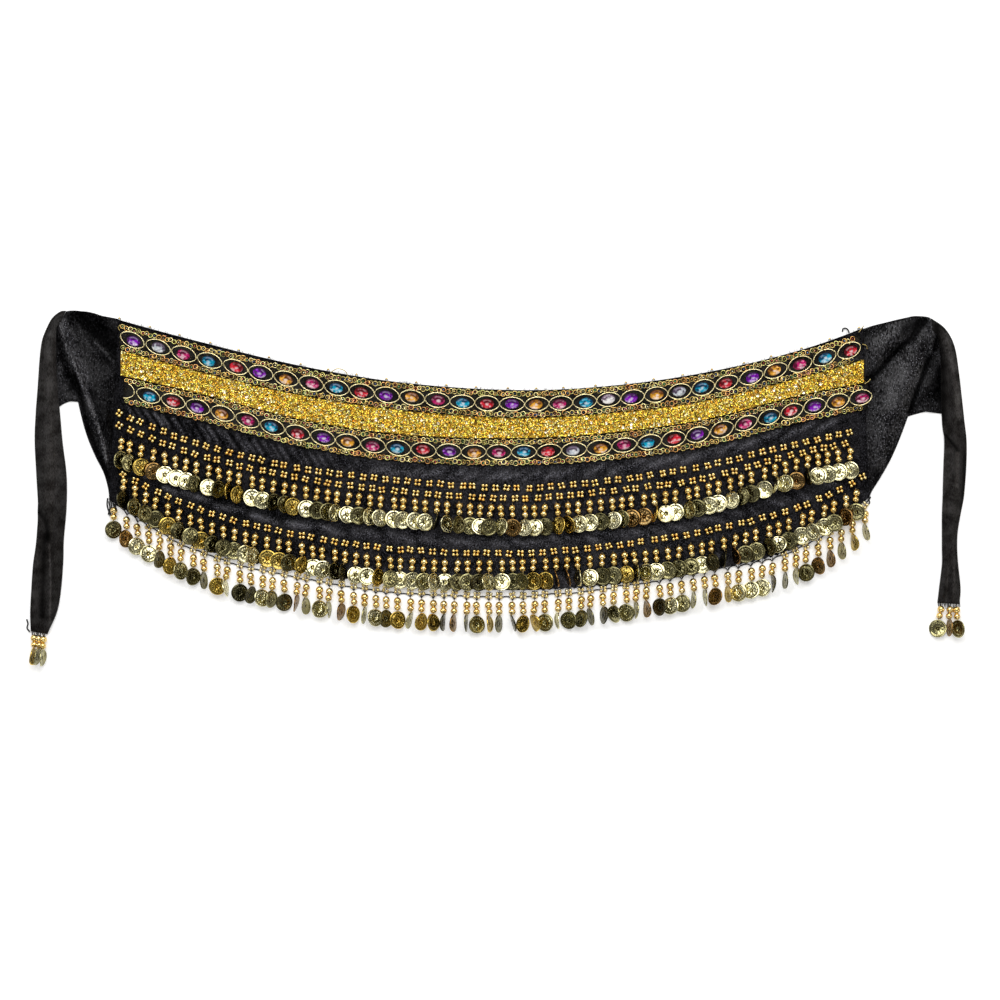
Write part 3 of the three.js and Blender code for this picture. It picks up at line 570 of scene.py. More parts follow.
def gem_material():
    """Foil-backed stone with painted light: painted reflections in facet cells and a painted glint in the
    middle, brightest away from the waist, with painted shade towards the waist and the girdle.
    """
    finish = Finish("cut_stone", Metallic=0.15, Roughness=0.12, Coat_Weight=0.2, Coat_Roughness=0.05,
                    Specular_IOR_Level=0.4)
    tone = finish.attribute("tone").outputs["Color"]
    u, v = finish.local()
    place = finish.node("TexCoord").outputs["Object"]
    # Painted reflections: the brightness of each Voronoi cell.
    painted_facet_cells = finish.node("TexVoronoi", None, Vector=place, Scale=430, Randomness=1.0).outputs["Color"]
    painted_facet_light = finish.node("SeparateColor", None, Color=painted_facet_cells).outputs[0]
    # Painted light and shade: bright away from the waist, deep towards it and the girdle, with a painted
    # glint.
    lower = finish.span(v, 0.6, -0.8, -0.22, 0.62)
    shine = finish.math("ADD", lower, finish.math("MULTIPLY", painted_facet_light, 0.75))
    painted_glint = finish.distance(finish.math("SUBTRACT", u, 0.05), finish.math("ADD", v, 0.14))
    painted_glint = finish.math("ADD", painted_glint, finish.math("MULTIPLY", painted_facet_light, 0.25))
    deep = finish.mix(1.0, tone, (0.16, 0.1, 0.16), "MULTIPLY")
    pale = finish.mix(0.6, tone, (1, 0.97, 0.97))
    colour = finish.mix(finish.span(shine, 0.38, 0.72), deep, tone)
    colour = finish.mix(finish.span(finish.distance(u, v), 0.88, 1.04), colour, deep)
    colour = finish.mix(finish.span(shine, 0.85, 1.1, 0, 0.9), colour, pale)
    colour = finish.mix(finish.span(painted_glint, 0.46, 0.2, 0, 0.95), colour, pale)
    return finish.set(Base_Color=colour)


def sequin_material():
    finish = Finish("sequin_foil", Metallic=0.85, Roughness=0.2)
    tone = finish.attribute("tone").outputs["Color"]
    shade = finish.noise(900, 1)
    return finish.set(Base_Color=finish.mix(finish.span(shade, 0.4, 0.75, 0, 0.35), tone, (0.35, 0.16, 0.02)))


def thread_material(name, colour):
    finish = Finish(name, Roughness=0.7)
    strand = finish.noise(1500, 2)
    tint = finish.mix(finish.span(strand, 0.3, 0.7), colour, tuple(part * 1.8 + 0.004 for part in colour))
    return finish.set(Base_Color=tint, Normal=finish.bump(strand, 0.0002))


def floor_material():
    finish = Finish("studio_paper", Roughness=0.9, Specular_IOR_Level=0.1, Emission_Color=(1, 1, 1, 1),
                    Emission_Strength=0.26)
    grain = finish.noise(60, 3)
    colour = finish.mix(finish.span(grain, 0.3, 0.7), (0.92, 0.92, 0.915), (0.94, 0.94, 0.935))
    return finish.set(Base_Color=colour)


# ---- Cloth ----
def shell(tops, undersides):
    """A closed cloth wall: a grid of top points and one of underside points, with their rims joined."""
    rows, columns = tops.shape[:2]
    under = undersides.shape[1]
    points = np.concatenate([tops.reshape(-1, 3), undersides.reshape(-1, 3)])
    start = rows * columns
    i = np.arange(rows - 1)
    side = []
    for top, low in ((0, 0), (columns - 1, under - 1)):
        above, below = i * columns + top, start + i * under + low
        quad = [above, above + columns, below + under, below]
        side.append(np.stack(quad if top == 0 else quad[::-1], -1))
    ends = []
    for row in (0, rows - 1):
        above, below = row * columns + np.arange(columns), start + row * under + np.arange(under)
        ring = np.concatenate([above, below[::-1]])
        ends.append((ring if row == 0 else ring[::-1])[None])
    faces = [grid_faces(rows, columns)[:, ::-1], start + grid_faces(rows, under), *side, *ends]
    return points, faces


def smooth_rows(table, steps):
    """The rows of a table with a smooth curve through them, steps rows for each of its own."""
    table = np.array(table, float)
    padded = np.concatenate([2 * table[:1] - table[1:2], table, 2 * table[-1:] - table[-2:-1]])
    rows = []
    for i in range(len(table) - 1):
        before, one, other, after = padded[i:i + 4]
        for t in np.arange(steps) / steps:
            square = 2 * before - 5 * one + 4 * other - after
            cube = 3 * one - before - 3 * other + after
            rows.append(0.5 * (2 * one + (other - before) * t + square * t * t + cube * t ** 3))
    return np.array([*rows, table[-1]])


# How far a web's lower edge is drawn up, and how far the web goes under its neighbours.
WEB_ARCH, WEB_TUCK = 3.5, 2.2


def cloth_piece(name, steps, columns, thick, lift, nap, material, slot, tuck=0, arch=0):
    """Cloth over a table of sections. Its first section and its sides go under their neighbours by tuck."""
    sections = smooth_rows(SECTIONS[name], steps)
    across = np.linspace(0, 1, columns)[None]
    along = np.linspace(0, 1, len(sections))[:, None]
    x = (sections[:, :1] - tuck) * (1 - across) + (sections[:, 2:3] + tuck) * across
    y = sections[:, 1:2] * (1 - across) + sections[:, 3:4] * across
    y = y + arch * np.sin(math.pi * across) * along ** 2 + 2 * tuck * (1 - along) ** 4
    height = np.maximum(0, lift(x, y, along, across))
    points, faces = shell(xyz(x, y, height + thick), xyz(x, y, height))
    if SECTIONS[name][0][0] > SECTIONS[name][-1][0]:  # sections that run to the left turn the faces over
        faces = [polygons[:, ::-1] for polygons in faces]
    # Painted light and shade from the strokes, the same on the top and the underside.
    tones = np.tile(painted_stroke_light(x, y, nap).ravel(), 2)
    piece = Piece(name + "_cloth")
    piece.add((points, faces), tones=tones[:, None] * np.ones(3))
    return piece.finish(material, slot, replaces=[name])


# Creases and troughs of the wings and ties: points along each, its height or depth, and its width.
WING_CREASES = (
    (((-396, 157), (-389, 130), (-381, 113), (-375, 98), (-367, 77), (-357, 47), (-352, 28)), 3.6, 3.5),
    (((-390, 155), (-377, 132), (-368, 106), (-357, 77), (-347, 47)), 4.2, 5.5),
    (((-363, 135), (-346, 117)), 2.2, 2.5),
    (((389, 156), (390, 144), (388, 135), (386, 122)), 4.6, 4),
    (((380, 136), (362, 96), (346, 58), (338, 24)), 3.6, 10),
    (((362, 152), (348, 136), (333, 122)), 3.2, 8),
)
WING_TROUGHS = (
    (((-369, 91), (-363, 67), (-353, 38)), 1.8, 2.5),
    (((-376, 152), (-360, 143), (-348, 126)), 1.6, 5),
    (((381, 156), (370, 138), (362, 133), (351, 122), (341, 110), (332, 103)), 3.0, 3),
    (((391, 128), (384, 118), (379, 105)), 1.8, 2.5),
)
# Painted light and shade on the wings and webs: points, strength and width of each stroke; above 0 a painted
# sheen along folds, below 0 painted shade.
WING_PAINTED_LIGHT = (
    (((-396, 157), (-392, 146), (-388.5, 130), (-381, 113), (-375, 98), (-367, 77), (-357, 47), (-353, 30)),
     2.6, 1.8),
    (((-393, 155), (-385, 136), (-377, 118), (-371, 103)), 1.2, 3.0),
    (((-372, 96), (-366, 78), (-360, 60), (-354, 40)), 1.1, 1.6),
    (((-363, 135), (-346, 117)), 0.9, 1.4),
    (((-382, 162), (-363, 152), (-351, 139), (-344, 126)), -0.97, 11),
    (((-369, 91), (-363, 67), (-353.5, 38)), -0.9, 2.6),
    (((-381, 108), (-376, 84), (-370, 57), (-360, 33), (-353, 14)), -0.9, 3.6),
    (((-400, 150), (-395, 130), (-389, 110), (-383, 94)), -0.8, 3.6),
    (((389, 156), (390, 144), (388, 135), (387, 127)), 1.8, 2.4),
    (((376, 122), (360, 98), (348, 70), (338, 40)), 0.7, 11),
    (((352, 146), (340, 132), (332, 122)), 0.5, 8),
    (((383, 156), (370, 139), (362, 133), (351, 122), (341, 110), (332, 103)), -1.2, 3),
    (((376, 155), (364, 147)), -0.8, 6),
    (((393, 146), (391, 134), (384, 116), (378.7, 101), (372.4, 84), (369, 74)), -1.3, 2.5),
    (((367, 64), (355, 39), (347, 25)), -0.7, 1.6),
    (((396, 112), (397, 72)), -0.7, 4.5),
    (((-343, 157), (-351, -8)), -0.35, 8),
    (((-368, 140), (-358, 105), (-352, 60)), -0.4, 13),
    (((393, 130), (389, 98), (386, 74)), -0.45, 8),
    (((327, 148), (332, -6)), -0.4, 9),
)
TIE_CREASES = (
    (((-398, 150), (-405, 120), (-404, 60), (-408, 0), (-402, -60), (-406, -120)), 2.6, 5),
    (((-412, 140), (-410, 90), (-398, 40)), 1.4, 3),
    (((-415, -15), (-408, -26), (-404, -60), (-400, -100)), 2.2, 2.5),
    (((-396, 10), (-399, -50), (-410, -110)), 1.6, 3),
    (((402, 140), (408, 100), (410, 50), (409, 0), (405, -40), (409, -90)), 2.4, 4),
    (((400, 52), (406, 44), (413, 36)), 2.0, 2.5),
    (((415, 60), (414, 10), (408, -30)), 1.5, 2.5),
    (((400, 0), (402, -50), (399, -90)), 1.4, 2.5),
)
# Painted light and shade on the ties, stroke by stroke as for the wings.
TIE_PAINTED_LIGHT = (
    (((-404, 140), (-405, 100), (-403, 50), (-401, 20), (-404, -8)), 0.8, 5.5),
    (((-415, -14), (-407, -26), (-405, -42)), -0.9, 2.4),
    (((-409, -38), (-410, -70), (-411, -110)), -0.8, 3),
    (((-404.5, -46), (-403.2, -80), (-404, -117)), 1.8, 0.8),
    (((-417, -50), (-419, -80), (-418, -105)), 0.5, 2.5),
    (((-405, 140), (-404, 40), (-406, -110)), 0.2, 14),
    (((403, 138), (407, 115), (411, 95), (413, 69)), 1.5, 3),
    (((393, 150), (399, 110), (399, 66)), -0.95, 4),
    (((401, 52.5), (411, 40)), -1.2, 1.9),
    (((402, 36), (402, 0), (403, -14)), 0.6, 4.5),
    (((412, 36), (411, 6)), 1.2, 1.5),
    (((418, 36), (416, -14)), -0.8, 2.5),
    (((403, 142), (408, 100), (409, 40), (408, -90)), 0.3, 14),
    (((404, -58), (401.5, -98)), 0.8, 1),
    (((408.5, -62), (408, -98)), 0.7, 1),
)


def wing_lift(x, y, along, across):
    ease = np.minimum(1, np.minimum(along * 6, np.minimum(across * 8, (1 - across) * 8)))
    high = np.max([height * crest(x, y, path, width) for path, height, width in WING_CREASES], axis=0)
    low = np.sum([height * crest(x, y, path, width) for path, height, width in WING_TROUGHS], axis=0)
    ripple = 0.35 * np.sin(x * 0.35 + np.sin(y * 0.05) * 3) * np.sin(y * 0.045 + x * 0.02)
    return (high - 0.6 * low + ripple + 0.3) * ease


def tie_lift(x, y, along, across):
    high = np.max([height * crest(x, y, path, width) for path, height, width in TIE_CREASES], axis=0)
    ripple = 0.25 * np.sin(across * 17 + np.sin(along * 9) * 2)
    return (high + ripple) * np.minimum(1, along * 5) + 0.1


def web_lift(x, y, along, across):
    return 0.5 * np.sin(across * math.pi) * (0.3 + np.sin(along * 9 + across * 3) ** 2)


# ---- The panel ----
PANEL_COLUMNS, PANEL_ROWS = 420, 84
PLEATS, RIGHT_FOLDS, ROW_DIMPLES, HEM_DIMPLES = 26, 24, 44, 60
VELVET_TONE_STATIONS = (  # x and the velvet's tone there: darker towards the ends than in the middle
    (-350, 0.3), (-320, 0.42), (-200, 0.5), (-80, 0.85), (100, 0.85), (250, 0.6), (332, 0.5),
)
FOLD_PAINTED_HIGHLIGHT = 2.0  # painted highlight that a fold adds to the tone for each millimetre of its height
PLEAT_PITCH, PLEAT_SHADE = 8.2, 0.5  # of the gathers on the left, with painted shade between their crests


def panel_folds(x, y):
    """Short slanting folds where the sewing gathers the velvet and soft dimples elsewhere, as heights, and
    how much painted shade lies between the folds."""
    height, shade = np.zeros(np.shape(x)), np.zeros(np.shape(x))
    for i in range(PLEATS):  # below the lower ribbon, strongest on the left
        at = -332 + PLEAT_PITCH * i + 1.8 * spread(i, 41)
        middle = (line("lower_low", at) + line("cluster_a", at)) / 2 + 0.5
        reach = 6.5 + 2 * spread(i, 42)
        strength = 1.2 * (0.35 + 0.65 * scatter(i, 43)) * (1.15 - i / 40)
        path = ((at - reach * 0.6, middle + reach), (at, middle + 0.8), (at + reach * 0.75, middle - reach))
        height = np.maximum(height, strength * crest(x, y, path, 1.1))
        between = [(px + PLEAT_PITCH / 2, py) for px, py in path]
        shade = np.maximum(shade, (1.1 - i / 40) * crest(x, y, between, 1.9))
    for i in range(RIGHT_FOLDS):  # the same on the right, fainter and leaning the other way
        at = -110 + 17.5 * i + 5 * spread(i, 44)
        middle = (line("lower_low", at) + line("cluster_a", at)) / 2 + 2 * spread(i, 45)
        reach = 7 + 3 * spread(i, 46)
        path = ((at - reach, middle - 2.5), (at + reach, middle + 2.5 + at / 60))
        height = np.maximum(height, 0.7 * crest(x, y, path, 2.2))
    for i in range(ROW_DIMPLES):  # between the coins of the first row and the second row's clusters
        at = -340 + 15 * i + 5 * spread(i, 47)
        middle = line("cluster_c", at) + 9 + 2.5 * spread(i, 48)
        reach = 6 + 3 * spread(i, 49)
        path = ((at - reach, middle + 2), (at + reach, middle - 2))
        height = np.maximum(height, (0.9 if at < -150 else 0.6) * crest(x, y, path, 2))
    for i in range(HEM_DIMPLES):  # near the hem
        at = -338 + 11 * i + 4 * spread(i, 50)
        middle = line("hem", at) + 7 + 3 * spread(i, 51)
        path = ((at - 4, middle + 4), (at + 4, middle - 4))
        height = np.maximum(height, 0.5 * crest(x, y, path, 2))
    return height, shade


def panel_piece(material):
    share = np.linspace(0, 1, PANEL_COLUMNS + 1)[:, None]
    down = np.linspace(0, 1, PANEL_ROWS + 1)[None]
    rough = -347 + 676.5 * share
    y = line("waist", rough) * (1 - down) + line("hem", rough) * down
    left = -351 + 8 * (y + 8.5) / 165.5
    right = 332 - 5 * (y + 6) / 154
    x = left * (1 - share) + right * share
    ragged = 0.5 * np.sin(x * 1.1) + 0.4 * np.sin(x * 2.7 + 1)
    y = line("waist", x) * (1 - down) + (line("hem", x) + ragged) * down
    clear = np.clip((line("lower_low", x) - y) / 3, 0, 1)
    nap = 0.12 * np.sin(x * 0.9 + 2 * np.sin(y * 0.31)) * np.sin(y * 0.8 + np.sin(x * 0.23))
    folds, shade = (part * clear for part in panel_folds(x, y))
    tops = xyz(x, y, PANEL_THICK + folds + nap * clear)
    undersides = tops[:, [0, -1]].copy()
    undersides[..., 2] = 0
    piece = Piece("velvet_panel")
    # Painted light and shade: the tone along X, a painted highlight on each fold and painted shade between
    # pleats.
    panel_painted_light = np.maximum(0.1, np.interp(x, *zip(*VELVET_TONE_STATIONS)) + FOLD_PAINTED_HIGHLIGHT * folds - PLEAT_SHADE * shade)
    tones = np.concatenate([panel_painted_light.ravel(), np.ones(2 * len(tops))])
    piece.add(shell(tops, undersides), tones=tones[:, None] * np.ones(3))
    return piece.finish(material, "velvet", replaces=["panel"])


# ---- Ribbons ----
RIBBONS = {
    "upper_trim": {"line": "upper_low", "start": -341.5, "end": 324},
    "lower_trim": {"line": "lower_low", "start": -338, "end": 331},
}
GEM_TONES = {
    "T": (0.0, 0.38, 0.58), "R": (0.68, 0.01, 0.03), "P": (0.26, 0.005, 0.5), "A": (0.85, 0.4, 0.03),
    "M": (0.6, 0.01, 0.16), "S": (0.5, 0.54, 0.58), "W": (0.95, 0.93, 0.9),
}
GEM_ORDER = {  # teal, red, purple, amber, magenta, with a few silver and white stones
    "upper_trim": "PSMTRPAMTRPAMTRPAMTWPASTRPAMTR",
    "lower_trim": "TRPAMTRPAMTRPAMTRSAMTRPAMTRPAM",
}
STONE_LENGTH, STONE_WIDTH = 12.6, 8.9
RING_HALF_WIDTH, RING_WIRE = 6.5, 0.5
RING_LEAN = 1.5  # how much more the rings and stones lean than their ribbon
CUT_RING_STEP, CUT_RING_HALF = 21.8, 9.6
CHAIN_PITCH, CHAIN_RADIUS, CHAIN_WIRE, CHAIN_STAGGER = 3.6, 2.05, 0.46, 0.45
CHAIN_HEIGHTS = (2.9, 21.4)  # of the two chains' middles above a ribbon's lower edge
CHAIN_TONES = np.array([
    (1, 0.88, 0.55), (0.98, 0.7, 0.4), (0.55, 0.48, 0.28), (1, 1, 0.86), (0.8, 0.88, 0.55),
    (0.92, 0.55, 0.36), (1, 0.92, 0.68),
])
GLINT_TONES = np.array([
    (0.9, 0.75, 0.3), (0.75, 0.15, 0.12), (0.2, 0.5, 0.2), (0.85, 0.35, 0.3), (0.9, 0.85, 0.6),
    (0.12, 0.2, 0.4), (0.85, 0.5, 0.15),
])


def ribbon_base(name, low, high, start, end, thick, material, slot, replaces=()):
    """A flat woven strip between two lines, a little wavy where it is sewn down."""
    x = np.linspace(start, end, 260)[:, None]
    across = np.linspace(0, 1, 9)[None]
    y = high(x) * (1 - across) + low(x) * across
    z = PANEL_THICK + SEAM + thick + 0.12 * np.sin(x * 0.5 + across * 4) * np.sin(across * math.pi)
    tops = xyz(x, y, z)
    undersides = tops[:, [0, -1]].copy()
    undersides[..., 2] = PANEL_THICK + SEAM
    piece = Piece(name)
    piece.add(shell(tops, undersides))
    return piece.finish(material, slot, replaces=replaces)


OVAL_POINT, OVAL_STEPS = 1.2, 48  # above 1, the ends of an oval ring are pointed
ROPE_TURNS = 9


def oval_path(half_length, half_width, wobble):
    angle = math.tau * np.arange(OVAL_STEPS) / OVAL_STEPS
    rise = np.sign(np.sin(angle)) * np.abs(np.sin(angle)) ** OVAL_POINT
    return xyz(half_length * np.cos(angle), half_width * rise * (1 + wobble), 0)


def rings(name, x, half, y, angle, material):
    """The oval wire rings. One more than there are stones is cut open."""
    piece = Piece(name + "_rings")
    for k in range(len(x)):
        path = oval_path(half[k], RING_HALF_WIDTH, 0.07 * spread(k, 61))
        if k < GEM_COUNT:
            ring = tube_shape(path, RING_WIRE, 6, True, ROPE_TURNS)
        else:
            ring = tube_shape(np.roll(path, OVAL_STEPS // 4, 0)[1:OVAL_STEPS // 2], RING_WIRE, 6)
        lean = RING_LEAN * angle[k] + 0.05 * spread(k, 62)
        piece.add(ring, turned(lean), [(x[k], y[k], RIBBON_TOP + RING_WIRE)])
    piece.finish(material, "ribbon")


def stones(name, x, y, angle, material):
    """A cut stone in each whole ring, not quite in its middle."""
    piece = Piece(name + "_stones")
    i = np.arange(GEM_COUNT)
    centres = xyz(x + 1.5 * spread(i, 63), y - 0.3 + 0.8 * spread(i, 64), RIBBON_TOP)
    size = np.array([STONE_LENGTH / 2, STONE_WIDTH / 2, 1])[:, None]
    upright = turned(-math.tau * scatter(i, 67)) @ tilted(GEM_COUNT, 65, 0.07)  # takes the free turn out
    frames = size * (turned(RING_LEAN * angle) @ upright)
    piece.add(gem_shape(), frames, centres, [GEM_TONES[letter] for letter in GEM_ORDER[name]])
    piece.finish(material, "gems", smooth=False)


def chains(name, ribbon, wire, sequin):
    """The two chains of small rings along a ribbon, with a glint in each ring and one between two."""
    piece = Piece(name + "_chains")
    glints = Piece(name + "_glints")
    circle = math.tau * np.arange(10) / 10
    path = CHAIN_RADIUS * xyz(np.cos(circle), np.sin(circle), 0.12 * np.sin(circle))
    ring = tube_shape(path, CHAIN_WIRE, 4, True)
    for row, height in enumerate(CHAIN_HEIGHTS):
        count = int((ribbon["end"] - ribbon["start"] - 4) / CHAIN_PITCH)
        i = np.arange(count)
        at = ribbon["start"] + 3 + CHAIN_PITCH * (i + 0.2 * spread(i, 71 + row))
        middle = line(ribbon["line"], at) + height + 0.3 * spread(i, 73 + row) + CHAIN_STAGGER * (-1.0) ** i
        frames = tilted(count, 75 + row, 0.3) * (0.85 + 0.3 * scatter(i, 77))[:, None, None]
        centres = xyz(at, middle, RIBBON_TOP + 0.5)
        piece.add(ring, frames, centres, picked(CHAIN_TONES, i, 79 + row))
        between = xyz(at + CHAIN_PITCH / 2, middle + 1.9 * spread(i, 78), RIBBON_TOP + 0.8)
        glints.add(cup_shape(5, 0.25), 0.55 * tilted(count, 81 + row, 0.6), between,
                   0.9 * picked(GLINT_TONES, i, 83 + row))
        glints.add(cup_shape(5, 0.25), 0.7 * tilted(count, 85 + row, 0.6), centres,
                   0.7 * picked(GLINT_TONES, i, 87 + row))
    piece.finish(wire, "ribbon")
    glints.finish(sequin, "sequins", smooth=False)


def ribbon_jewels(name, materials):
    ribbon = RIBBONS[name]
    x = np.interp(np.arange(GEM_COUNT), GEM_STATIONS, GEM_X[name])
    half = np.gradient(x) / 2
    if name == "lower_trim":  # an empty ring that is cut open comes before the first stone
        x, half = np.append(x, x[0] - CUT_RING_STEP), np.append(half, CUT_RING_HALF)
    y = line(ribbon["line"], x) + RIBBON_WIDTH / 2
    angle = slope_angle(ribbon["line"], x)
    rings(name, x, half, y, angle, materials["wire"])
    stones(name, *(part[:GEM_COUNT] for part in (x, y, angle)), materials["stone"])
    chains(name, ribbon, materials["wire"], materials["sequin"])


SEQUIN_COUNT, SEQUIN_RADIUS = 20000, 0.9
SEQUIN_TONES = np.array([
    (1, 0.65, 0.07), (0.6, 0.34, 0.02), (1, 0.79, 0.15), (0.14, 0.08, 0.006), (1, 0.95, 0.5),
    (0.96, 0.69, 0.06), (0.72, 0.66, 0.09), (0.98, 0.5, 0.05),
])
PALE_COUNT, PALE_RADIUS, PALE_TONE = 36, 1.4, (1, 0.88, 0.6)  # larger pale sequins among them


def sequins(material):
    i = np.arange(SEQUIN_COUNT)
    x = BAND_START + 1 + (BAND_END - BAND_START - 2) * (i + scatter(i, 91)) / SEQUIN_COUNT
    low, high = line("lower_low", x) + RIBBON_WIDTH + 1, line("upper_low", x) - 0.6
    y = low + (high - low) * scatter(i, 92)
    z = PANEL_THICK + SEAM + BAND_THICK + 0.5 + 0.8 * scatter(i, 93)
    piece = Piece("band_sequins")
    frames = SEQUIN_RADIUS * tilted(SEQUIN_COUNT, 94, 0.42) * (0.8 + 0.4 * scatter(i, 97))[:, None, None]
    piece.add(cup_shape(6, 0.3), frames, xyz(x, y, z), picked(SEQUIN_TONES, i, 98))
    i = np.arange(PALE_COUNT)
    x = BAND_START + 3 + (BAND_END - BAND_START - 6) * scatter(i, 101)
    low, high = line("lower_low", x) + RIBBON_WIDTH + 2, line("upper_low", x) - 2
    y = low + (high - low) * scatter(i, 102) ** 2
    frames = PALE_RADIUS * tilted(PALE_COUNT, 103, 0.2)
    piece.add(cup_shape(8, 0.3), frames, xyz(x, y, z.max() + 0.3), PALE_TONE)
    piece.finish(material, "sequins", smooth=False)


# ---- Bead clusters ----
CLUSTER_PITCH = 9.9
SMALL_BEAD = 1.65
CLUSTER_ROWS = {  # start, end and seed
    "cluster_a": (-342.5, 315.5, 101), "cluster_b": (-342.5, 311, 111), "cluster_c": (-337, 326, 121),
}
GOLD_TONES = np.array([(1, 1, 1), (0.92, 0.86, 0.75), (1, 0.92, 0.72), (0.86, 0.8, 0.62)])


def add_clusters(piece, x, y, z, angle, seed, tone=(1, 1, 1)):
    """Two by two small beads at each place."""
    index = np.arange(len(x))
    for corner, (side, rise) in enumerate(((-1, 1), (1, 1), (1, -1), (-1, -1))):
        lean = angle + 0.22 * spread(index, seed + 1)
        dx, dy = side * SMALL_BEAD, rise * SMALL_BEAD
        px = x + dx * np.cos(lean) - dy * np.sin(lean) + 0.25 * spread(index, seed + 2 + corner)
        py = y + dx * np.sin(lean) + dy * np.cos(lean) + 0.25 * spread(index, seed + 6 + corner)
        tones = picked(GOLD_TONES, index, seed + 10 + corner) * tone
        size = SMALL_BEAD * (0.93 + 0.12 * scatter(index, seed + 14 + corner))
        piece.add(sphere_shape(8, 6), turned(lean) * size[:, None, None], xyz(px, py, z), tones)


def clusters(material):
    piece = Piece("bead_clusters")
    for name, (start, end, seed) in CLUSTER_ROWS.items():
        count = round((end - start) / CLUSTER_PITCH) + 1
        i = np.arange(count)
        x = np.linspace(start, end, count) + 1.2 * spread(i, seed)
        y = line(name, x) + 0.5 * spread(i, seed + 30)
        keep = y < line("lower_low", x) - 2.5
        x, y = x[keep], y[keep]
        add_clusters(piece, x, y, PANEL_THICK + SMALL_BEAD + 0.2, slope_angle(name, x), seed)
    piece.finish(material, "beads")


# ---- Coin drops ----
def make_drop(x, y, turn, lean, drift, base, tone):
    side = -1 if x < 0 else 1
    angle, tip = math.radians(turn), math.radians(lean)
    level = np.array([math.cos(tip), math.sin(tip), 0])
    return {
        "base": base, "side": side, "turn": angle, "tone": tone,
        "root": np.array([x, y, base + ROOT_HEIGHT]),
        "along": np.array([-level[1], level[0], 0]),
        "across": np.array([level[0] * math.cos(angle), level[1] * math.cos(angle), math.sin(angle) * side]),
        "x": x + drift,
        "y": y - ROOT_RISE - BEAD_STEP - HOLE_DROP - HOLE_RADIUS * math.cos(angle / 2),
        "z": base + SEAM + COIN_THICK / 2 + COIN_RADIUS * math.sin(angle),
    }


def coin_ends(drop):
    dx = COIN_RADIUS * math.cos(drop["turn"])
    dz = COIN_RADIUS * math.sin(drop["turn"]) * drop["side"]
    return (drop["x"] - dx, drop["z"] - dz), (drop["x"] + dx, drop["z"] + dz)


def off_segment(p, a, b):
    dx, dz = b[0] - a[0], b[1] - a[1]
    share = min(1, max(0, ((p[0] - a[0]) * dx + (p[1] - a[1]) * dz) / (dx * dx + dz * dz)))
    return math.hypot(p[0] - a[0] - share * dx, p[1] - a[1] - share * dz)


def coins_meet(one, other):
    a, b = coin_ends(one)
    c, d = coin_ends(other)

    def side(p, q, r):
        return (q[0] - p[0]) * (r[1] - p[1]) - (q[1] - p[1]) * (r[0] - p[0]) > 0

    if side(a, b, c) != side(a, b, d) and side(c, d, a) != side(c, d, b):
        return True
    gaps = off_segment(a, c, d), off_segment(b, c, d), off_segment(c, a, b), off_segment(d, a, b)
    return min(gaps) < COIN_THICK + SEAM


def rest_coins(drops):
    """From the middle outwards, each coin slides clear of those already there, or else leans on them."""
    rested = []
    for drop in sorted(drops, key=lambda drop: abs(drop["root"][0])):
        hangs = drop["x"]
        near = [other for other in rested if abs(other["x"] - hangs) < 2 * COIN_RADIUS + 4]
        clear = False
        while not clear:
            for slide in SLIDES:
                drop["x"] = hangs + slide * drop["side"]
                if not any(coins_meet(drop, other) for other in near):
                    clear = True
                    break
            else:
                drop["z"] += LIFT_STEP
        rested.append(drop)
    return drops


def row_drops(row):
    last = len(row["turns"]) - 1
    rise = 0 if row["line"] == "thread" else ROOT_RISE
    drops = []
    for i, letter in enumerate(row["turns"]):
        x = row["start"] + (row["end"] - row["start"]) * i / last + DROP_JITTER * spread(i, row["seed"])
        turn = TURNS[letter] + TURN_JITTER * spread(i, row["seed"] + 1)
        lean = LEAN_JITTER * spread(i, row["seed"] + 2)
        root = line(row["line"], x) + rise
        drops.append(make_drop(x, root, turn, lean, 0, row["base"], row["tones"][i]))
    return rest_coins(drops)


BIG_BEADS = (3.4, 3.15)  # radius of the upper and the lower one
BEADS_CLOSER = 0.25  # how much each stands nearer to the other than its solid
COIN_RAISE = 0.6
COIN_CLEAR = 0.05  # least height of a coin above what it lies on
# How far a coin tips about its level axis, in radians, and how much that varies. Below 0 it faces the
# softbox.
COIN_TIPS = {"W": (-0.2, 0.09), "L": (-0.1, 0.12)}
OTHER_TIPS = (0.03, 0.18)
COIN_DISH = 0.095  # how far it may be bent, as a share of its radius


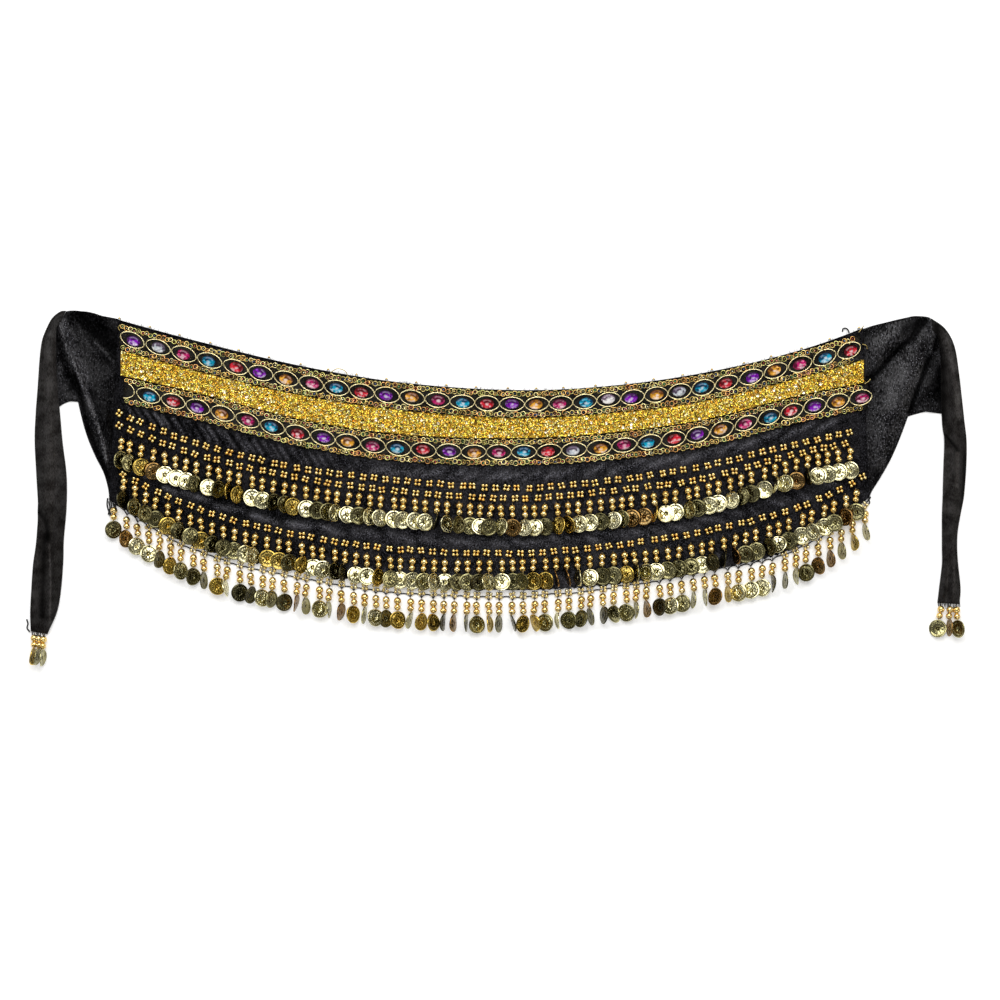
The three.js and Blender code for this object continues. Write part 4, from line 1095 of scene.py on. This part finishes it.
def add_drops(name, drops, seed, materials):
    """Two beads and a struck coin for each drop."""
    index = np.arange(len(drops))
    across = np.array([drop["across"] for drop in drops])
    along = np.array([drop["along"] for drop in drops])
    normal = np.cross(across, along)
    centres = np.array([(drop["x"], drop["y"] + COIN_RAISE, drop["z"]) for drop in drops])
    flip = np.where(normal[:, 2:] < 0, -1, 1)
    middle_tip, tip_range = np.array([COIN_TIPS.get(drop["tone"], OTHER_TIPS) for drop in drops]).T
    tip = (middle_tip + tip_range * spread(index, seed + 17))[:, None]
    tipped = along * np.cos(tip) + normal * flip * np.sin(tip)
    frames = COIN_RADIUS * np.stack([across * flip, tipped, np.cross(across * flip, tipped)], 1)
    # Coin colours: gilding tints, with painted shade and painted dark reflections for the darker letters.
    tones = np.array([COIN_GILDING_AND_PAINTED_SHADE[drop["tone"]] for drop in drops])

    def dished(points):
        """Each thin coin is bent a little in its own way."""
        bowl, saddle, skew = (COIN_DISH * spread(index, seed + 4 + k)[:, None] for k in range(3))
        u, v, w = points[None, :, 0], points[None, :, 1], points[None, :, 2]
        height = bowl * (u * u + v * v) + saddle * (u * u - v * v) + skew * u * v * 1.5
        return xyz(u, v, w + height)

    base = np.array([drop["base"] for drop in drops])
    lowest = np.einsum("kni,ki->kn", dished(coin_shape()[0]), frames[:, :, 2]).min(1) + centres[:, 2]
    centres[:, 2] += np.maximum(0, base + COIN_CLEAR - lowest)
    coins = Piece(name + "_coins")
    coins.add(coin_shape(), frames, centres, tones, dished)
    coins.finish(materials["coin"], "coins", replaces=[name])

    roots = np.array([drop["root"] for drop in drops])
    holes = centres + HOLE_RADIUS * along
    beads = Piece(name + "_beads")
    for k in range(2):
        share = (ROOT_RISE + BEAD_STEP * k) / (ROOT_RISE + BEAD_STEP + HOLE_DROP)
        middle = roots + (holes - roots) * share
        middle[:, 1] = roots[:, 1] - ROOT_RISE - BEAD_STEP * k + (BEADS_CLOSER if k else -BEADS_CLOSER)
        middle[:, 0] += 0.5 * spread(index, seed + 8 + k)
        middle[:, 2] = base + BIG_BEADS[k] + k * 0.12 * np.maximum(0, holes[:, 2] - base - BEAD_HEIGHT)
        size = BIG_BEADS[k] * (0.95 + 0.05 * scatter(index, seed + 10 + k))[:, None, None]
        lean = turned(0.15 * spread(index, seed + 12 + k)) * size
        beads.add(sphere_shape(14, 10), lean, middle, picked(GOLD_TONES, index, seed + 14 + k))
    beads.finish(materials["bead"], "beads")

    threads = Piece(name + "_strings")
    for root, hole, low in zip(roots, holes, base):
        middle = root * 0.4 + hole * 0.6
        middle[2] = low + BEAD_HEIGHT
        threads.add(tube_shape([root, middle, hole + [0, 0.6, 0]], 0.32, 4))
    threads.finish(materials["string"], "thread")


# ---- Threads, net and edges ----
def scallops(piece, drops):
    """The black thread that carries the last row: it dips at each drop and arches between them."""
    roots = sorted((tuple(drop["root"]) for drop in drops), key=lambda root: root[0])
    path = []
    for (ax, ay, az), (bx, by, _) in zip(roots, roots[1:]):
        rise = 2.2 + 1.6 * scatter(ax, 131)
        for t in np.arange(6) / 6:
            arch = rise * math.sqrt(4 * t * (1 - t)) + 0.2
            path.append((ax + (bx - ax) * t, ay + (by - ay) * t + arch, az + 0.3))
    path.append((roots[-1][0], roots[-1][1] + 0.7, roots[-1][2]))
    piece.add(tube_shape(path, 0.62, 5))


def net(drops, materials):
    threads = Piece("net_threads")
    scallops(threads, drops)
    roots = np.array([drop["root"] for drop in drops])
    high, low = line("hem", roots[:, 0]), line("thread", roots[:, 0])
    middle = (high + low) / 2
    for (x, _, _), top, bottom in zip(roots, high, low):
        path = [(x, top + 1, 1), (x + 0.3, (top + bottom) / 2, 1), (x, bottom + 0.5, 1)]
        threads.add(tube_shape(path, 0.28, 4))
    threads.finish(materials["thread"], "thread")
    beads = Piece("net_beads")
    tall = high - low > 4.5
    x = roots[tall, 0]
    add_clusters(beads, x, middle[tall], SMALL_BEAD + 0.3, slope_angle("hem", x), 141, (1.0, 1.0, 0.95))
    beads.finish(materials["pale_bead"], "beads")


PICOT_PITCH = 26.6
PICOT_LOOP = ((-1.2, -0.4, 2), (-0.8, 1.6, 2.2), (0, 2.5, 2.3), (0.8, 1.6, 2.2), (1.2, -0.4, 2))
HAIRS, HAIR_START, HAIR_END = 150, -341, 326


def waist_edge(materials):
    """Small gold beads on loops of thread along the waist edge, with fine hairs between them."""
    x = np.arange(-340, 330, PICOT_PITCH)
    i = np.arange(len(x))
    x = x + 2 * spread(i, 151)
    y = line("waist", x)
    beads = Piece("waist_beads")
    beads.add(sphere_shape(8, 6), 0.95 * np.eye(3), xyz(x, y + 1.6, 2.2), (1, 0.95, 0.8))
    beads.finish(materials["bead"], "beads")
    threads = Piece("waist_threads")
    for px, py in zip(x, y):
        threads.add(tube_shape([(px + dx, py + dy, z) for dx, dy, z in PICOT_LOOP], 0.22, 4))
    for k in range(HAIRS):
        px = HAIR_START + (HAIR_END - HAIR_START) * scatter(k, 153)
        py = line("waist", px)
        reach = 0.8 + 1.4 * scatter(k, 154)
        lean = 1.6 * spread(k, 155)
        path = [(px, py - 1, 1.4), (px + lean * 0.4, py + reach * 0.6, 1.8), (px + lean, py + reach, 1.6)]
        threads.add(tube_shape(path, 0.16, 3))
    threads.finish(materials["thread"], "thread")


LOOSE_WIRES = (  # points of wire that has come away from the ribbons
    ((-154.7, 99.2), (-152.2, 107.5), (-148.5, 110.8), (-144.5, 112.1), (-138.2, 109.5), (-135.6, 102.2)),
    ((327.2, 150.8), (325.6, 148.6), (322.7, 144.5)), ((333.5, 103), (331, 100.2), (328, 98.6)),
    ((-341, 146), (-342.6, 149.6), (-339, 151.8), (-336, 150)), ((326, 134), (329.5, 133), (330.5, 129.5)),
)
LOOSE_THREADS = (
    ((331.5, -5), (333, -8), (330.5, -11), (329, -13.5)), ((334, -3), (331, -7), (327.5, -9)),
    ((308.5, 145.5), (309, 148), (311.5, 148.6), (313.5, 147), (314.5, 144.5)),
    ((-352.5, -4), (-353, -10), (-351.5, -16), (-349, -21)), ((-350, -6), (-349, -12), (-350.5, -20)),
    ((-348, -8), (-346.5, -14), (-347.5, -22)), ((-351.5, -7), (-350.5, -13), (-352, -19)),
    ((-346, -9), (-345, -15), (-346, -19)), ((-425.4, -113), (-424.2, -117), (-425, -121), (-422.5, -124.5)),
)


def loose_ends(materials):
    for name, paths, z, radius, tone, material, slot in (
        ("loose_wires", LOOSE_WIRES, RIBBON_TOP + 1, 0.42, (0.55, 0.5, 0.35), "wire", "ribbon"),
        ("loose_threads", LOOSE_THREADS, 1.2, 0.7, (1, 1, 1), "thread", "thread"),
    ):
        piece = Piece(name)
        for path in paths:
            x, y = smooth_rows(path, 5).T
            piece.add(tube_shape(xyz(x, y, z), radius, 5), tones=tone)
        piece.finish(materials[material], slot)


FRAYED = {  # start, end and y of the tie's end, reach, count and seed
    "left": (-421, -407, -124.5, -3.0, 14, 161), "right": (394, 414, -99, -3.5, 20, 171),
}


def frayed_ends(materials):
    """Loose threads at the ties' cut ends."""
    piece = Piece("frayed_threads")
    for start, end, y, reach, count, seed in FRAYED.values():
        for k in range(count):
            x = start + (end - start) * (k + scatter(k, seed)) / count
            length = reach * (0.4 + 1.2 * scatter(k, seed + 1))
            lean = 1.5 * spread(k, seed + 2)
            path = [(x, y + 2, 1.2), (x + lean * 0.5, y + length * 0.5, 1.3), (x + lean, y + length, 0.6)]
            piece.add(tube_shape(path, 0.35, 3))
    piece.finish(materials["thread"], "thread")


# ---- Making it ----
bpy.context.scene.view_settings.view_transform = "Standard"
add_camera()
add_light("waist_side", (0, 1.75, 2.45), (3.2, 2.1), 92)
add_light("fringe_side", (0, -2.2, 2.4), (2.6, 0.8), 16)
add_light("left_strip", (-2.2, 0.2, 1.2), (0.5, 1.6), 8)
add_light("right_strip", (2.2, -0.3, 1.1), (0.5, 1.6), 7, (1, 0.95, 0.85))
world = bpy.data.worlds.new("studio")
world.use_nodes = True
world.node_tree.nodes["Background"].inputs["Color"].default_value = (1, 1, 1, 1)
world.node_tree.nodes["Background"].inputs["Strength"].default_value = 0.2
bpy.context.scene.world = world

paper = floor_material()
bpy.ops.mesh.primitive_grid_add(x_subdivisions=8, y_subdivisions=8, size=8)
floor = bpy.context.object
floor.name = "floor"
floor.data.materials.append(paper)

VELVET = cloth_material(
    "velvet_lurex", (0.001, 0.001, 0.0013), (0.019, 0.0178, 0.0225), 0.5, 900, (1, 0.7, 1), 0.3,
    (0.1, 0.1, 0.12))
CRUSHED = cloth_material(
    "crushed_velvet", (0.001, 0.001, 0.0012), (0.0175, 0.0165, 0.0185), 0.4, 620, (1.4, 0.6, 1), 0.25,
    (0.09, 0.09, 0.1))
SATIN = cloth_material(
    "satin_weave", (0.0042, 0.0035, 0.0032), (0.011, 0.0092, 0.0085), 0.4, 1600, (2.5, 0.3, 1))
BRAID = cloth_material(
    "ribbon_braid", (0.002, 0.0016, 0.0012), (0.007, 0.006, 0.0035), 0.5, 1500, (1, 1, 1), 0.06,
    (0.2, 0.15, 0.05))
BACKING = cloth_material(
    "sequin_backing", (0.25, 0.13, 0.015), (0.6, 0.38, 0.06), 0.4, 900, (1, 1, 1), 0.2, (0.9, 0.7, 0.2))
MATERIALS = {
    "wire": metal_material(
        "gold_wire", (1.0, 0.9, 0.52), (0.66, 0.48, 0.18), 0.2, 700,
        edge_painted_shade=(0.17, 0.12, 0.04), edge_painted_shade_share=0.7),
    "bead": metal_material(
        "gold_bead", (1.0, 0.81, 0.4), (0.66, 0.45, 0.15), 0.15, 300,
        edge_painted_shade=(0.2, 0.1, 0.025), edge_painted_shade_share=0.75),
    "small_bead": metal_material(
        "small_bead", (1.0, 0.83, 0.38), (0.95, 0.56, 0.13), 0.18, 300,
        edge_painted_shade=(0.5, 0.2, 0.03), edge_painted_shade_share=0.7),
    "pale_bead": metal_material(
        "pale_bead", (0.95, 0.86, 0.56), (0.7, 0.56, 0.26), 0.2, 400,
        edge_painted_shade=(0.25, 0.17, 0.06), edge_painted_shade_share=0.7),
    "coin": metal_material("struck_coin", (0.88, 0.84, 0.58), (0.3, 0.27, 0.14), 0.1, 160, struck=True),
    "stone": gem_material(),
    "sequin": sequin_material(),
    "thread": thread_material("black_thread", (0.002, 0.002, 0.002)),
    "string": thread_material("gold_string", (0.25, 0.17, 0.06)),
}

panel_piece(VELVET)
for side in ("left", "right"):
    cloth_piece(side + "_wing", 9, 60, WING_THICK, wing_lift, WING_PAINTED_LIGHT, CRUSHED, "velvet")
    cloth_piece(side + "_web", 8, 24, WEB_THICK, web_lift, WING_PAINTED_LIGHT, CRUSHED, "satin", WEB_TUCK, WEB_ARCH)
    cloth_piece(side + "_tie", 8, 34, TIE_THICK, tie_lift, TIE_PAINTED_LIGHT, SATIN, "satin")

for name, ribbon in RIBBONS.items():
    ribbon_base(
        name + "_ribbon", lambda x: line(ribbon["line"], x) + SEAM,
        lambda x: line(ribbon["line"], x) + RIBBON_WIDTH,
        ribbon["start"], ribbon["end"], RIBBON_THICK, BRAID, "ribbon", [name])
    ribbon_jewels(name, MATERIALS)
ribbon_base(
    "sequin_backing", lambda x: line("lower_low", x) + RIBBON_WIDTH + SEAM,
    lambda x: line("upper_low", x) - SEAM / 2,
    BAND_START, BAND_END, BAND_THICK, BACKING, "sequins", ["sequin_band"])
sequins(MATERIALS["sequin"])
clusters(MATERIALS["small_bead"])

for name, row in COIN_ROWS.items():
    drops = row_drops(row)
    add_drops(name, drops, row["seed"], MATERIALS)
    if name == "coin_row_3":
        net(drops, MATERIALS)
for seed, (name, strands) in enumerate(TIE_ENDS.items(), 181):
    drops = rest_coins([make_drop(x, y, turn, 0, drift, 0, tone) for x, y, drift, turn, tone in strands])
    add_drops(name, drops, seed, MATERIALS)
waist_edge(MATERIALS)
frayed_ends(MATERIALS)
loose_ends(MATERIALS)
